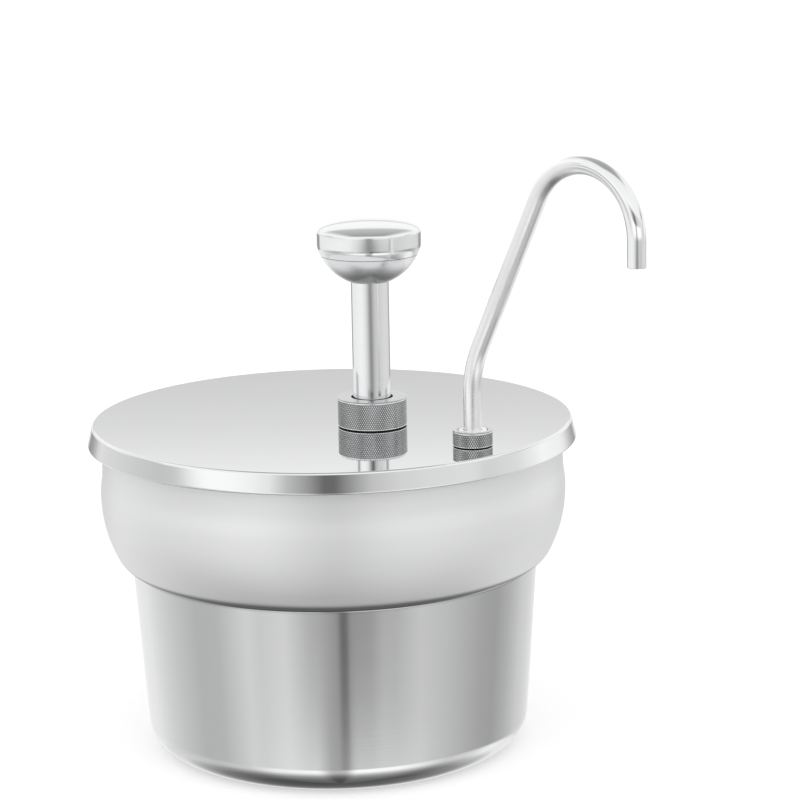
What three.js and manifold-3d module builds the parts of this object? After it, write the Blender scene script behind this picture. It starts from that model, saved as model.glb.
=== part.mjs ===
// A lidded pot with a hand pump through its lid and a bent spout beside the pump.
// Millimetres, +Z up. The origin is the centre of the pot's foot, on the table, and +X runs
// from the pot's centre to the spout.

import * as THREE from "three";
import { mergeVertices } from "three/addons/utils/BufferGeometryUtils.js";
import Module from "manifold-3d";

const wasm = await Module();
wasm.setup();

// Clearances
const fit = 0.3; // round a shaft in its hole
const restGap = 0.3; // under a piece that rests on a curved one
const overrun = 2; // how far a cut runs past its material

// How finely round shapes are drawn
const largeSegments = 48;
const mediumSegments = 24;
const smallSegments = 16;
const tubeSegments = 6; // for each half turn round a bent tube
const domeSteps = 5;
const rimSteps = 7;
const ballSegments = 12;
const ballRings = 8;
const arcSagitta = 0.3;
const bendStep = THREE.MathUtils.degToRad(7.5);
const samePoint = 1e-6;

// Pot
const potHeight = 200; // from the table to the top face of the lid
const potWall = 1;
const neckRadius = 138.9;
const rimRadius = 2.45;
const bellyBulge = 1.4;
const neckBlendTop = 28.5; // depths below the lid's top face
const neckBlendBottom = 38.5;
const stepDepth = 85.5;
const shoulderRise = 24.1; // from the step up to the belly's lower corner
const stepWidth = 16;
const stepFootRun = 6.5;
const stepFootRise = 1.75;
const bodyTaper = 7.9;
const neckRounding = 40;
const bellyRounding = 77;
const stepFootRounding = 12;
const creaseRounding = 1.5;
const baseRounding = 18;

// Lid
const lidPlate = 1;
const lidSideClearance = 0.4;
const lidCornerRounding = 1.6;
const skirtDepth = 12.4;
const skirtFlare = 2.9;
const hemWidth = 2;
const hemRise = 0.5;
const hemRounding = 0.8;

// Pump head, seen above the lid
const pumpOffset = 34.9;
const gasketThickness = 1.2;
const gasketOverhang = 0.3;
const collarRadius = 20.6;
const collarHeight = 16.3;
const collarTopWall = 2.5;
const collarTopRounding = 1.1;
const collarFootRounding = 0.5;
const collarHoleClearance = 0.9;
const wiperThickness = 2;
const plungerRadius = 11.2;
const plungerWall = 1.2;
const plungerExposed = 69.35;
const knobStopGap = 13.35;

// Knob
const knobWall = 1.2;
const knobRadius = 30.73;
const knobFootLand = 0.8;
const knobSideRun = 12.6; // from the foot to the corner of the bowl's long arc
const knobSideRise = 5.6;
const knobSideRounding = 33;
const knobSeamRise = 15.95;
const knobBandRise = 20.75;
const knobBandRounding = 8;
const knobBandHeight = 8.4;
const knobDomeRise = 7;
const tubeInKnob = 6;
const hubThickness = 4;
const plugLength = 14;
const knobScrewRadius = 5;
const knobScrewHeadRadius = 8;
const knobScrewHeadHeight = 4;
const knobScrewTipGap = 2;

// Pump cylinder under the lid
const washerThickness = 1.2;
const cylinderBore = 13;
const cylinderWall = 1.6;
const cylinderNeckRadius = 16;
const flangeRadius = 21.5;
const flangeThickness = 3;
const bushFlangeThickness = 1.5;
const bushLength = 26;
const holeClearance = 0.5;

// Piston
const pistonClearance = 0.4;
const pistonLength = 20;
const spigotLength = 10;
const sealInset = 4; // from the piston's ends to its seal grooves
const sealGrooveHeight = 3.4;
const sealGrooveDepth = 2.1;
const sealRounding = 0.9;

// Return spring
const springWireRadius = 0.9;
const springSideClearance = 0.9;
const springCurls = 12;
const springStepsPerCurl = 8;
const springSides = 5;
const springEndPitch = 3.2;

// Valve block at the pump's foot
const footClearance = 9;
const blockHalfWidth = 19;
const dischargeSpacing = 36;
const socketDepth = 12;
const ballRadius = 8;
const ballLift = 3.5;
const seatHoleRadius = 5.5;
const cageClearance = 1.5;
const seatRingRadius = 12;
const seatRingHeight = 12;
const seatRingBevel = 1.5;
const passageRadius = 4;
const seatLand = 8;
const wellDepth = 2;
const stopPinRadius = 1.2;
const stopPinLand = 1.2; // block left between the pin's hole and the cap's foot
const plugScrewRadius = 6;
const plugScrewLength = 8;
const plugSlotWidth = 1.6;
const plugSlotDepth = 2;
const capJoin = 1; // how far the cap's thread and neck run into its hexagon

// Riser from the valve block to the spout
const capThreadRadius = 12;
const capThreadLength = 5.6;
const capHexAcross = 28;
const capHexHeight = 6;
const unionNeckRadius = 9;
const unionNeckLength = 12;
const unionNutAcross = 23;
const unionNutWall = 3;
const unionNutEngagement = 8;
const riserRadius = 6;
const riserWall = 1.2;
const riserBendShare = 0.7; // of the largest bend that its room allows
const riserEndLand = 6.5; // straight tube past each union nut
const riserInsertion = 14;

// Spout and its fitting in the lid
const spoutInset = 22.2; // from the pot's neck to the spout's axis
const spoutGasketThickness = 0.8;
const spoutNutRadius = 11.55;
const spoutNutHeight = 8.5;
const spoutNutTopWall = 1.4;
const spoutNutTopRounding = 1;
const spoutNutFootRounding = 0.4;
const fittingNeckRadius = 9.6;
const fittingFlangeRadius = 12;
const fittingWeb = 4;
const ferruleFlange = 1.2;
const ferruleRadius = 8.3;
const ferruleProud = 0.2;
const spoutRadius = 5.2;
const spoutWall = 1;
const spoutInsertion = 10;
const spoutRise = 30.2;
const spoutLowerBend = 62.2;
const spoutLean = THREE.MathUtils.degToRad(26.7);
const spoutStraight = 100;
const spoutArch = 37.3;
const spoutDrop = 14.9;

// Heights that follow from the sizes above
const lidTop = potHeight;
const lidUnder = lidTop - lidPlate;
const rimTop = lidUnder - restGap;
const flangeTop = lidUnder - washerThickness;
const flangeFoot = flangeTop - flangeThickness;
const collarFoot = lidTop + gasketThickness;
const collarTop = collarFoot + collarHeight;
const wiperTop = collarTop - collarTopWall;
const wiperFoot = wiperTop - wiperThickness;
const cylinderTop = wiperFoot - bushFlangeThickness;
const bushFoot = cylinderTop - bushLength;
const pistonTop = bushFoot - restGap;
const pistonFoot = pistonTop - pistonLength;
const knobFoot = collarTop + plungerExposed;
const plungerTop = knobFoot + tubeInKnob;
const hubTop = plungerTop + hubThickness;
const potSplit = lidTop - stepDepth - creaseRounding; // where the pot's two solids meet
const blockFoot = potWall + footClearance;
const inletSeat = blockFoot + seatRingHeight;
const ballOnSeat = Math.sqrt(ballRadius ** 2 - seatHoleRadius ** 2) + restGap;
const inletBallHeight = inletSeat + ballOnSeat;
const pinAboveBall = ballRadius + ballLift + restGap + stopPinRadius;
const passageHeight = inletBallHeight;
const dischargeSeat = passageHeight + passageRadius + seatLand;
const dischargeBallHeight = dischargeSeat + ballOnSeat;
const dischargePinHeight = dischargeBallHeight + pinAboveBall;
const capFoot = dischargePinHeight + stopPinRadius + fit + stopPinLand;
const blockTop = capFoot + capThreadLength;
const socketFloor = blockTop - socketDepth;
const capHexTop = blockTop + capHexHeight;
const capTop = capHexTop + unionNeckLength;
const riserFoot = capHexTop;
const nutFoot = lidTop + spoutGasketThickness;
const nutTop = nutFoot + spoutNutHeight;
const ferruleFoot = nutTop - spoutNutTopWall - restGap - ferruleFlange;
const spoutFoot = lidTop - spoutInsertion;
const riserTop = spoutFoot - fittingWeb;
const fittingFoot = riserTop - riserInsertion;

// Radii and places that follow from the sizes above
const spoutOffset = neckRadius - spoutInset;
const neckInnerRadius = neckRadius - potWall;
const rimOuterRadius = neckInnerRadius + 2 * rimRadius;
const bodyTopRadius = neckRadius - stepWidth;
const lidRadius = rimOuterRadius + lidSideClearance + lidPlate;
const plungerBore = plungerRadius - plungerWall;
const guideRadius = plungerRadius + fit;
const pistonRadius = cylinderBore - pistonClearance;
const neckClearRadius = cylinderNeckRadius + fit;
const cageRadius = ballRadius + cageClearance;
const barrelRadius = cylinderBore + cylinderWall;
const spoutBore = spoutRadius - spoutWall;
const riserBore = riserRadius - riserWall;
const riserSocketRadius = riserRadius + fit;

// The steels, plastics and rubber, each call a material of its own
function steel(color, roughness) {
  return new THREE.MeshStandardMaterial({ color, roughness, metalness: 1 });
}

function plastic(color, roughness) {
  return new THREE.MeshStandardMaterial({ color, roughness, metalness: 0 });
}

const satinSteel = () => steel(0xc9cbcd, 0.35);
const mirrorSteel = () => steel(0xdcdedf, 0.08);
const polishedSteel = () => steel(0xd2d4d6, 0.16);
const knurledSteel = () => steel(0xb4b6b8, 0.3);
const blackRubber = () => plastic(0x17181a, 0.7);
const whitePlastic = () => plastic(0xe9e8e2, 0.5);

// A closed three.js geometry as a solid that can be joined and cut
function solidOf(geometry) {
  const bare = geometry.clone();
  bare.deleteAttribute("normal");
  bare.deleteAttribute("uv");
  const merged = mergeVertices(bare);
  const vertProperties = merged.attributes.position.array;
  const triVerts = new Uint32Array(merged.index.array);
  return new wasm.Manifold(new wasm.Mesh({ numProp: 3, vertProperties, triVerts }));
}

// A solid as a three.js geometry
function geometryOf(solid) {
  const { vertProperties, triVerts } = solid.getMesh();
  const geometry = new THREE.BufferGeometry();
  geometry.setAttribute("position", new THREE.BufferAttribute(vertProperties, 3));
  geometry.setIndex(new THREE.BufferAttribute(triVerts, 1));
  geometry.computeVertexNormals();
  return geometry;
}

function piece(name, solid, material) {
  const mesh = new THREE.Mesh(geometryOf(solid), material);
  mesh.name = name;
  return mesh;
}

function cut(solid, ...tools) {
  return tools.reduce((left, tool) => left.subtract(tool), solid);
}

// An outline holds [radius, height] points. A corner's third number is its rounding.
function rounded(corners) {
  const vectors = corners.map(([r, z]) => new THREE.Vector2(r, z));
  const edges = vectors.slice(1).map((v, i) => v.distanceTo(vectors[i]));
  const turns = corners.map((corner, i) => {
    if (i === 0 || i === corners.length - 1) return 0;
    const before = vectors[i].clone().sub(vectors[i - 1]);
    const after = vectors[i + 1].clone().sub(vectors[i]);
    return Math.atan2(before.cross(after), before.dot(after));
  });
  const wanted = corners.map((corner, i) => (corner[2] ?? 0) * Math.tan(Math.abs(turns[i]) / 2));
  const room = edges.map((length, i) => Math.min(1, length / (wanted[i] + wanted[i + 1] || length)));
  const points = corners.flatMap((corner, i) => {
    if (!wanted[i]) return [[corner[0], corner[1]]];
    const share = Math.min(room[i - 1], room[i]);
    return cornerArc(vectors[i - 1], vectors[i], turns[i], corner[2] * share, wanted[i] * share);
  });
  const apart = (a, b) => Math.hypot(a[0] - b[0], a[1] - b[1]) > samePoint;
  return points.filter((point, i) => i === 0 || apart(point, points[i - 1]));
}

// The arc that replaces one corner
function cornerArc(before, corner, turn, rounding, tangentLength) {
  const along = corner.clone().sub(before).normalize();
  const start = corner.clone().addScaledVector(along, -tangentLength);
  const side = new THREE.Vector2(-along.y, along.x).multiplyScalar(Math.sign(turn));
  const centre = start.clone().addScaledVector(side, rounding);
  const step = 2 * Math.acos(1 - Math.min(1, arcSagitta / rounding));
  const steps = Math.max(1, Math.ceil(Math.abs(turn) / step));
  return Array.from({ length: steps + 1 }, (_, k) => {
    const point = start.clone().rotateAround(centre, (turn * k) / steps);
    return [point.x, point.y];
  });
}

// The same outline moved to its left by a distance, with its first and last ends square
function shifted(points, distance) {
  const unit = (a, b) => new THREE.Vector2(b[0] - a[0], b[1] - a[1]).normalize();
  return points.map((point, i) => {
    const before = i > 0 ? unit(points[i - 1], point) : unit(point, points[1]);
    const after = i < points.length - 1 ? unit(point, points[i + 1]) : before;
    const mean = before.clone().add(after).normalize();
    const reach = distance / mean.dot(after);
    return [point[0] - mean.y * reach, point[1] + mean.x * reach];
  });
}

// The closed outline of a sheet that lies to the left of its outer face
function sheet(outer, wall) {
  return [...outer, ...shifted(outer, wall).reverse()];
}

// The part of a rising outline between two heights
function between(points, low, high) {
  const kept = [];
  points.forEach((point, i) => {
    const last = points[i - 1];
    for (const level of [low, high]) {
      if (last && (last[1] - level) * (point[1] - level) < 0) {
        const share = (level - last[1]) / (point[1] - last[1]);
        kept.push([last[0] + share * (point[0] - last[0]), level]);
      }
    }
    if (point[1] >= low && point[1] <= high) kept.push(point);
  });
  return kept;
}

// The radius of a rising outline at a height
function radiusAt(points, height) {
  const above = points.findIndex(([, z]) => z >= height);
  const [r0, z0] = points[Math.max(0, above - 1)];
  const [r1, z1] = points[above];
  return z1 === z0 ? r1 : r0 + ((r1 - r0) * (height - z0)) / (z1 - z0);
}

// A closed outline turned about the Z axis
function turned(outline, segments) {
  const next = (i) => outline[(i + 1) % outline.length];
  const area = outline.reduce((sum, [r, z], i) => sum + r * next(i)[1] - next(i)[0] * z, 0);
  const anticlockwise = area > 0 ? outline : [...outline].reverse();
  const touchesAxis = outline.some(([r]) => r === 0);
  const start = anticlockwise.findIndex(([r], i) => {
    return touchesAxis && r === 0 && anticlockwise.at(i - 1)[0] === 0;
  });
  const first = Math.max(0, start);
  const ordered = [...anticlockwise.slice(first), ...anticlockwise.slice(0, first)];
  if (!touchesAxis) ordered.push(ordered[0]);
  const points = ordered.map(([r, z]) => new THREE.Vector2(r, z));
  return solidOf(new THREE.LatheGeometry(points, segments).rotateX(Math.PI / 2));
}

// A plain ring or disc between two heights
function ring(innerRadius, outerRadius, low, high, segments) {
  const outline = [
    [innerRadius, low],
    [outerRadius, low],
    [outerRadius, high],
    [innerRadius, high],
  ];
  return turned(outline, segments);
}

function disc(radius, low, high, segments) {
  return ring(0, radius, low, high, segments);
}

// A six-sided bar between two heights, by its size across the flats
function hexBar(across, low, high) {
  const cornerRadius = across / Math.sqrt(3);
  const geometry = new THREE.CylinderGeometry(cornerRadius, cornerRadius, high - low, 6);
  return solidOf(geometry.rotateX(Math.PI / 2).translate(0, 0, (low + high) / 2));
}

// A round bar along X between two places, or along Y and centred
function barAlongX(radius, from, to, height, segments) {
  const geometry = new THREE.CylinderGeometry(radius, radius, to - from, segments);
  return solidOf(geometry.rotateZ(Math.PI / 2).translate((from + to) / 2, 0, height));
}

function barAlongY(radius, length, x, height, segments) {
  const geometry = new THREE.CylinderGeometry(radius, radius, length, segments);
  return solidOf(geometry.translate(x, 0, height));
}

function ball(x, height) {
  const geometry = new THREE.SphereGeometry(ballRadius, ballSegments, ballRings);
  return solidOf(geometry.rotateX(Math.PI / 2).translate(x, 0, height));
}

// A route in the XZ plane of straight runs and bends, as stations with their headings.
// A heading is measured from +Z towards +X. A move is { run } or { radius, turn }.
function route(foot, moves) {
  const direction = (heading) => new THREE.Vector3(Math.sin(heading), 0, Math.cos(heading));
  const toRight = (heading) => new THREE.Vector3(Math.cos(heading), 0, -Math.sin(heading));
  let place = new THREE.Vector3(0, 0, foot);
  let heading = 0;
  const stations = [{ place, tangent: direction(heading) }];
  for (const { run, radius, turn } of moves) {
    if (run !== undefined) {
      place = place.clone().addScaledVector(direction(heading), run);
      stations.push({ place, tangent: direction(heading) });
      continue;
    }
    const reach = radius * Math.sign(turn);
    const centre = place.clone().addScaledVector(toRight(heading), reach);
    const steps = Math.ceil(Math.abs(turn) / bendStep);
    const start = heading;
    for (let k = 1; k <= steps; k += 1) {
      heading = start + (turn * k) / steps;
      place = centre.clone().addScaledVector(toRight(heading), -reach);
      stations.push({ place, tangent: direction(heading) });
    }
  }
  return stations;
}

// A curve through stations, one step from each to the next
class StationCurve extends THREE.Curve {
  constructor(stations) {
    super();
    this.stations = stations;
  }
  get steps() {
    return this.stations.length - 1;
  }
  getUtoTmapping(u) {
    return u;
  }
  getPoint(t, target = new THREE.Vector3()) {
    return target.copy(this.stations[Math.round(t * this.steps)].place);
  }
  getTangent(t, target = new THREE.Vector3()) {
    return target.copy(this.stations[Math.round(t * this.steps)].tangent);
  }
}

function bentTube(stations, radius, bore) {
  const section = new THREE.Shape();
  section.absarc(0, 0, radius, 0, 2 * Math.PI, false);
  const hollow = new THREE.Path();
  hollow.absarc(0, 0, bore, 0, 2 * Math.PI, true);
  section.holes.push(hollow);
  const curve = new StationCurve(stations);
  const options = { steps: curve.steps, extrudePath: curve, curveSegments: tubeSegments };
  return solidOf(new THREE.ExtrudeGeometry(section, options));
}

// Pot: foot, tapered body, stepped shoulder, belly, neck and rolled rim. It is one sheet of
// steel, drawn as two solids that meet just under the step.
function potOuterFace() {
  const bellyRadius = neckRadius + bellyBulge;
  const stepHeight = lidTop - stepDepth;
  const rimHeight = rimTop - rimRadius;
  const wallMeetsRim = Math.acos((neckInnerRadius + rimRadius - neckRadius) / rimRadius);
  return rounded([
    [0, 0],
    [bodyTopRadius - bodyTaper, 0, baseRounding],
    [bodyTopRadius, stepHeight, creaseRounding],
    [bodyTopRadius + stepFootRun, stepHeight + stepFootRise, stepFootRounding],
    [bellyRadius, stepHeight + shoulderRise, bellyRounding],
    [bellyRadius, lidTop - neckBlendBottom, neckRounding],
    [neckRadius, lidTop - neckBlendTop, neckRounding],
    [neckRadius, rimHeight - rimRadius * Math.sin(wallMeetsRim)],
  ]);
}

// The rolled rim, from where the neck's outer face meets it to where the inner face leaves it
function rimArc() {
  const centreRadius = neckInnerRadius + rimRadius;
  const wallMeetsRim = Math.acos((centreRadius - neckRadius) / rimRadius);
  const sweep = 2 * Math.PI - wallMeetsRim;
  return Array.from({ length: rimSteps }, (_, k) => {
    const angle = Math.PI + wallMeetsRim + (sweep * (k + 1)) / rimSteps;
    const height = rimTop - rimRadius + rimRadius * Math.sin(angle);
    return [centreRadius + rimRadius * Math.cos(angle), height];
  });
}

function potBody() {
  const outer = potOuterFace();
  const outside = between(outer, 0, potSplit);
  const inside = between(shifted(outer, potWall), 0, potSplit).reverse();
  return piece("pot_body", turned([...outside, ...inside], largeSegments), satinSteel());
}

function potShoulder() {
  const outer = potOuterFace();
  const outside = between(outer, potSplit, Infinity);
  const inner = shifted(outer, potWall).slice(0, -1);
  const inside = between(inner, potSplit, Infinity).reverse();
  const outline = [...outside, ...rimArc(), ...inside];
  return piece("pot_shoulder", turned(outline, largeSegments), satinSteel());
}

// Lid: flat plate, flared skirt and folded hem, with a hole for the pump and one for the spout
function lid() {
  const skirtRadius = lidRadius + skirtFlare;
  const skirtFoot = lidTop - skirtDepth;
  const outer = rounded([
    [0, lidTop],
    [lidRadius, lidTop, lidCornerRounding],
    [skirtRadius, skirtFoot + hemRise, hemRounding],
    [skirtRadius - hemWidth, skirtFoot],
  ]);
  const plate = turned(sheet(outer, -lidPlate), largeSegments);
  const low = lidUnder - overrun;
  const high = lidTop + overrun;
  const pumpHole = disc(cylinderNeckRadius + holeClearance, low, high, mediumSegments);
  const spoutHole = disc(fittingNeckRadius + holeClearance, low, high, smallSegments);
  const holes = [pumpHole.translate([pumpOffset, 0, 0]), spoutHole.translate([spoutOffset, 0, 0])];
  return piece("lid", cut(plate, ...holes), mirrorSteel());
}

// Knurled collar nut: it screws onto the cylinder's neck and clamps the lid
function pumpCollar() {
  const holeRadius = guideRadius + collarHoleClearance;
  const outline = rounded([
    [neckClearRadius, wiperTop],
    [neckClearRadius, collarFoot],
    [collarRadius, collarFoot, collarFootRounding],
    [collarRadius, collarTop, collarTopRounding],
    [holeRadius, collarTop],
    [holeRadius, wiperTop],
  ]);
  return piece("pump_collar", turned(outline, mediumSegments), knurledSteel());
}

function pumpGasket() {
  const outerRadius = collarRadius + gasketOverhang;
  const body = ring(neckClearRadius, outerRadius, lidTop, collarFoot, mediumSegments);
  return piece("pump_gasket", body, blackRubber());
}

function pumpWasher() {
  const body = ring(neckClearRadius, flangeRadius, flangeTop, lidUnder, mediumSegments);
  return piece("pump_washer", body, blackRubber());
}

// Cylinder: neck through the lid, flange under it and the long barrel down to the valve block
function pumpCylinder() {
  const outline = [
    [cylinderBore, socketFloor],
    [barrelRadius, socketFloor],
    [barrelRadius, flangeFoot],
    [flangeRadius, flangeFoot],
    [flangeRadius, flangeTop],
    [cylinderNeckRadius, flangeTop],
    [cylinderNeckRadius, cylinderTop],
    [cylinderBore, cylinderTop],
  ];
  return piece("pump_cylinder", turned(outline, mediumSegments), satinSteel());
}

function guideBush() {
  const outline = [
    [guideRadius, bushFoot],
    [cylinderBore - fit, bushFoot],
    [cylinderBore - fit, cylinderTop],
    [cylinderNeckRadius - fit, cylinderTop],
    [cylinderNeckRadius - fit, wiperFoot],
    [guideRadius, wiperFoot],
  ];
  return piece("guide_bush", turned(outline, mediumSegments), whitePlastic());
}

function wiperSeal() {
  const outerRadius = cylinderNeckRadius - fit;
  const body = ring(guideRadius, outerRadius, wiperFoot, wiperTop, mediumSegments);
  return piece("wiper_seal", body, blackRubber());
}

// Plunger: the polished tube, with a plug in its top for the knob's screw
function plungerTube() {
  const body = ring(plungerBore, plungerRadius, pistonTop, plungerTop, mediumSegments);
  return piece("plunger_tube", body, polishedSteel());
}

function tubePlug() {
  const bore = knobScrewRadius + fit;
  const foot = plungerTop - plugLength;
  const body = ring(bore, plungerBore - fit, foot, plungerTop, smallSegments);
  return piece("tube_plug", body, satinSteel());
}

// The knob's outer face from its foot to the top of its dome
function knobFace() {
  const bandFoot = knobFoot + knobBandRise;
  const bandTop = bandFoot + knobBandHeight;
  const footRadius = guideRadius + knobFootLand;
  const sides = rounded([
    [guideRadius, knobFoot],
    [footRadius, knobFoot],
    [footRadius + knobSideRun, knobFoot + knobSideRise, knobSideRounding],
    [knobRadius, bandFoot, knobBandRounding],
    [knobRadius, bandTop],
  ]);
  const dome = Array.from({ length: domeSteps }, (_, k) => {
    const angle = ((k + 1) * Math.PI) / 2 / domeSteps;
    const radius = k + 1 < domeSteps ? knobRadius * Math.cos(angle) : 0;
    return [radius, bandTop + knobDomeRise * Math.sin(angle)];
  });
  return [...sides, ...dome];
}

const knobSeam = knobFoot + knobSeamRise;

function bowlFace() {
  return between(knobFace(), knobFoot, knobSeam - fit / 2);
}

function knobBowl() {
  const body = turned(sheet(bowlFace(), knobWall), mediumSegments);
  return piece("knob_bowl", body, polishedSteel());
}

function knobCap() {
  const outer = between(knobFace(), knobSeam + fit / 2, Infinity);
  const inner = shifted(outer, knobWall);
  inner[inner.length - 1][0] = 0;
  const body = turned([...outer, ...inner.reverse()], mediumSegments);
  return piece("knob_cap", body, polishedSteel());
}

// The disc inside the bowl that sits on the tube and carries the bowl
function knobHub() {
  const room = radiusAt(shifted(bowlFace(), knobWall), plungerTop);
  const body = ring(knobScrewRadius + fit, room - 2 * fit, plungerTop, hubTop, mediumSegments);
  return piece("knob_hub", body, satinSteel());
}

function knobScrew() {
  const tip = plungerTop - plugLength + knobScrewTipGap;
  const outline = [
    [0, tip],
    [knobScrewRadius, tip],
    [knobScrewRadius, hubTop],
    [knobScrewHeadRadius, hubTop],
    [knobScrewHeadRadius, hubTop + knobScrewHeadHeight],
    [0, hubTop + knobScrewHeadHeight],
  ];
  return piece("knob_screw", turned(outline, smallSegments), satinSteel());
}

// Piston: spigot in the tube's foot and two seal grooves
function sealGrooveFeet() {
  return [pistonFoot + sealInset, pistonTop - sealInset - sealGrooveHeight];
}

function piston() {
  const grooveRadius = pistonRadius - sealGrooveDepth;
  const outline = [
    [0, pistonFoot],
    [pistonRadius, pistonFoot],
    ...sealGrooveFeet().flatMap((foot) => [
      [pistonRadius, foot],
      [grooveRadius, foot],
      [grooveRadius, foot + sealGrooveHeight],
      [pistonRadius, foot + sealGrooveHeight],
    ]),
    [pistonRadius, pistonTop],
    [plungerBore - fit, pistonTop],
    [plungerBore - fit, pistonTop + spigotLength],
    [0, pistonTop + spigotLength],
  ];
  return piece("piston", turned(outline, mediumSegments), whitePlastic());
}

function pistonSeal(name, grooveFoot) {
  const innerRadius = pistonRadius - sealGrooveDepth + fit;
  const outerRadius = cylinderBore - fit;
  const low = grooveFoot + fit;
  const high = grooveFoot + sealGrooveHeight - fit;
  const outline = rounded([
    [innerRadius, low],
    [outerRadius, low, sealRounding],
    [outerRadius, high, sealRounding],
    [innerRadius, high],
  ]);
  return piece(name, turned(outline, mediumSegments), blackRubber());
}

// Return spring: closed up at both ends, on the valve block's ledge and under the piston
function springCentres() {
  const foot = socketFloor + restGap + springWireRadius;
  const top = pistonFoot - restGap - springWireRadius;
  const openPitch = (top - foot - 2 * springEndPitch) / (springCurls - 2);
  const radius = cylinderBore - springSideClearance - springWireRadius;
  const steps = springCurls * springStepsPerCurl;
  return Array.from({ length: steps + 1 }, (_, k) => {
    const curl = k / springStepsPerCurl;
    const lower = springEndPitch * Math.min(curl, 1);
    const middle = openPitch * THREE.MathUtils.clamp(curl - 1, 0, springCurls - 2);
    const upper = springEndPitch * Math.max(curl - springCurls + 1, 0);
    const angle = 2 * Math.PI * curl;
    const height = foot + lower + middle + upper;
    return new THREE.Vector3(radius * Math.cos(angle), radius * Math.sin(angle), height);
  });
}

function returnSpring() {
  const centres = springCentres();
  const positions = centres.flatMap((centre) => {
    const out = new THREE.Vector3(centre.x, centre.y, 0).normalize();
    return Array.from({ length: springSides }, (_, side) => {
      const angle = (2 * Math.PI * side) / springSides;
      const across = out.clone().multiplyScalar(springWireRadius * Math.cos(angle));
      const point = centre.clone().add(across);
      point.z += springWireRadius * Math.sin(angle);
      return point.toArray();
    }).flat();
  });
  const corner = (ringNumber, side) => ringNumber * springSides + (side % springSides);
  const faces = [];
  for (let k = 0; k < centres.length - 1; k += 1) {
    for (let side = 0; side < springSides; side += 1) {
      faces.push(corner(k, side), corner(k + 1, side), corner(k, side + 1));
      faces.push(corner(k, side + 1), corner(k + 1, side), corner(k + 1, side + 1));
    }
  }
  const end = centres.length - 1;
  for (let side = 1; side < springSides - 1; side += 1) {
    faces.push(corner(0, 0), corner(0, side), corner(0, side + 1));
    faces.push(corner(end, 0), corner(end, side + 1), corner(end, side));
  }
  const geometry = new THREE.BufferGeometry();
  geometry.setAttribute("position", new THREE.Float32BufferAttribute(positions, 3));
  geometry.setIndex(faces);
  return piece("return_spring", solidOf(geometry), satinSteel());
}

// The least gap from one curl of the spring to the next, measured on its points
function springLeastGap() {
  const centres = springCentres();
  let least = Infinity;
  centres.forEach((centre, i) => {
    centres.slice(i + springStepsPerCurl / 2).forEach((other) => {
      least = Math.min(least, centre.distanceTo(other) - 2 * springWireRadius);
    });
  });
  return least;
}

// Valve block: barrel socket and inlet valve under the pump, a cross passage, and the
// discharge valve under the riser
function valveBlock() {
  const outline = new THREE.Shape();
  outline.absarc(0, 0, blockHalfWidth, Math.PI / 2, (3 * Math.PI) / 2, false);
  outline.absarc(dischargeSpacing, 0, blockHalfWidth, -Math.PI / 2, Math.PI / 2, false);
  const depth = blockTop - blockFoot;
  const options = { depth, bevelEnabled: false, curveSegments: tubeSegments };
  const block = solidOf(new THREE.ExtrudeGeometry(outline, options).translate(0, 0, blockFoot));
  const discharge = (solid) => solid.translate([dischargeSpacing, 0, 0]);
  const wellFoot = passageHeight - passageRadius - wellDepth;
  const plugCut = dischargeSpacing + blockHalfWidth - plugScrewLength;
  const pinLength = 2 * (blockHalfWidth + overrun);
  const pinHole = stopPinRadius + fit;
  const inletPin = inletBallHeight + pinAboveBall;
  const end = dischargeSpacing + blockHalfWidth + overrun;
  const body = cut(
    block,
    disc(barrelRadius + fit, socketFloor, blockTop + overrun, mediumSegments),
    disc(cageRadius, inletSeat - overrun, blockTop, mediumSegments),
    disc(seatRingRadius + fit, blockFoot - overrun, inletSeat, mediumSegments),
    discharge(disc(seatHoleRadius, wellFoot, dischargeSeat + overrun, smallSegments)),
    discharge(disc(cageRadius, dischargeSeat, capFoot + overrun, mediumSegments)),
    discharge(disc(capThreadRadius + fit, capFoot, blockTop + overrun, mediumSegments)),
    barAlongX(passageRadius, 0, plugCut, passageHeight, smallSegments),
    barAlongX(plugScrewRadius + fit, plugCut, end, passageHeight, smallSegments),
    barAlongY(pinHole, pinLength, 0, inletPin, smallSegments),
    barAlongY(pinHole, pinLength, dischargeSpacing, dischargePinHeight, smallSegments),
  );
  return piece("valve_block", body, whitePlastic());
}

// Screwed ring under the inlet ball, with a bevelled mouth towards the pot's floor
function inletSeatRing() {
  const mouth = seatHoleRadius + seatRingBevel;
  const outline = [
    [mouth, blockFoot],
    [seatRingRadius, blockFoot],
    [seatRingRadius, inletSeat],
    [seatHoleRadius, inletSeat],
    [seatHoleRadius, blockFoot + seatRingBevel],
  ];
  return piece("inlet_seat", turned(outline, mediumSegments), satinSteel());
}

function stopPin(name, x, height) {
  const length = 2 * (blockHalfWidth - fit);
  return piece(name, barAlongY(stopPinRadius, length, x, height, smallSegments), satinSteel());
}

// Screw that closes the outer end of the cross passage, with a slot for a driver
function passagePlug() {
  const end = dischargeSpacing + blockHalfWidth - fit;
  const start = dischargeSpacing + blockHalfWidth - plugScrewLength;
  const body = barAlongX(plugScrewRadius, start, end, passageHeight, smallSegments);
  const slotDepth = plugSlotDepth + overrun;
  const slot = new THREE.BoxGeometry(slotDepth, plugSlotWidth, 2 * (plugScrewRadius + overrun));
  slot.translate(end - plugSlotDepth + slotDepth / 2, 0, passageHeight);
  return piece("passage_plug", cut(body, solidOf(slot)), satinSteel());
}

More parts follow.
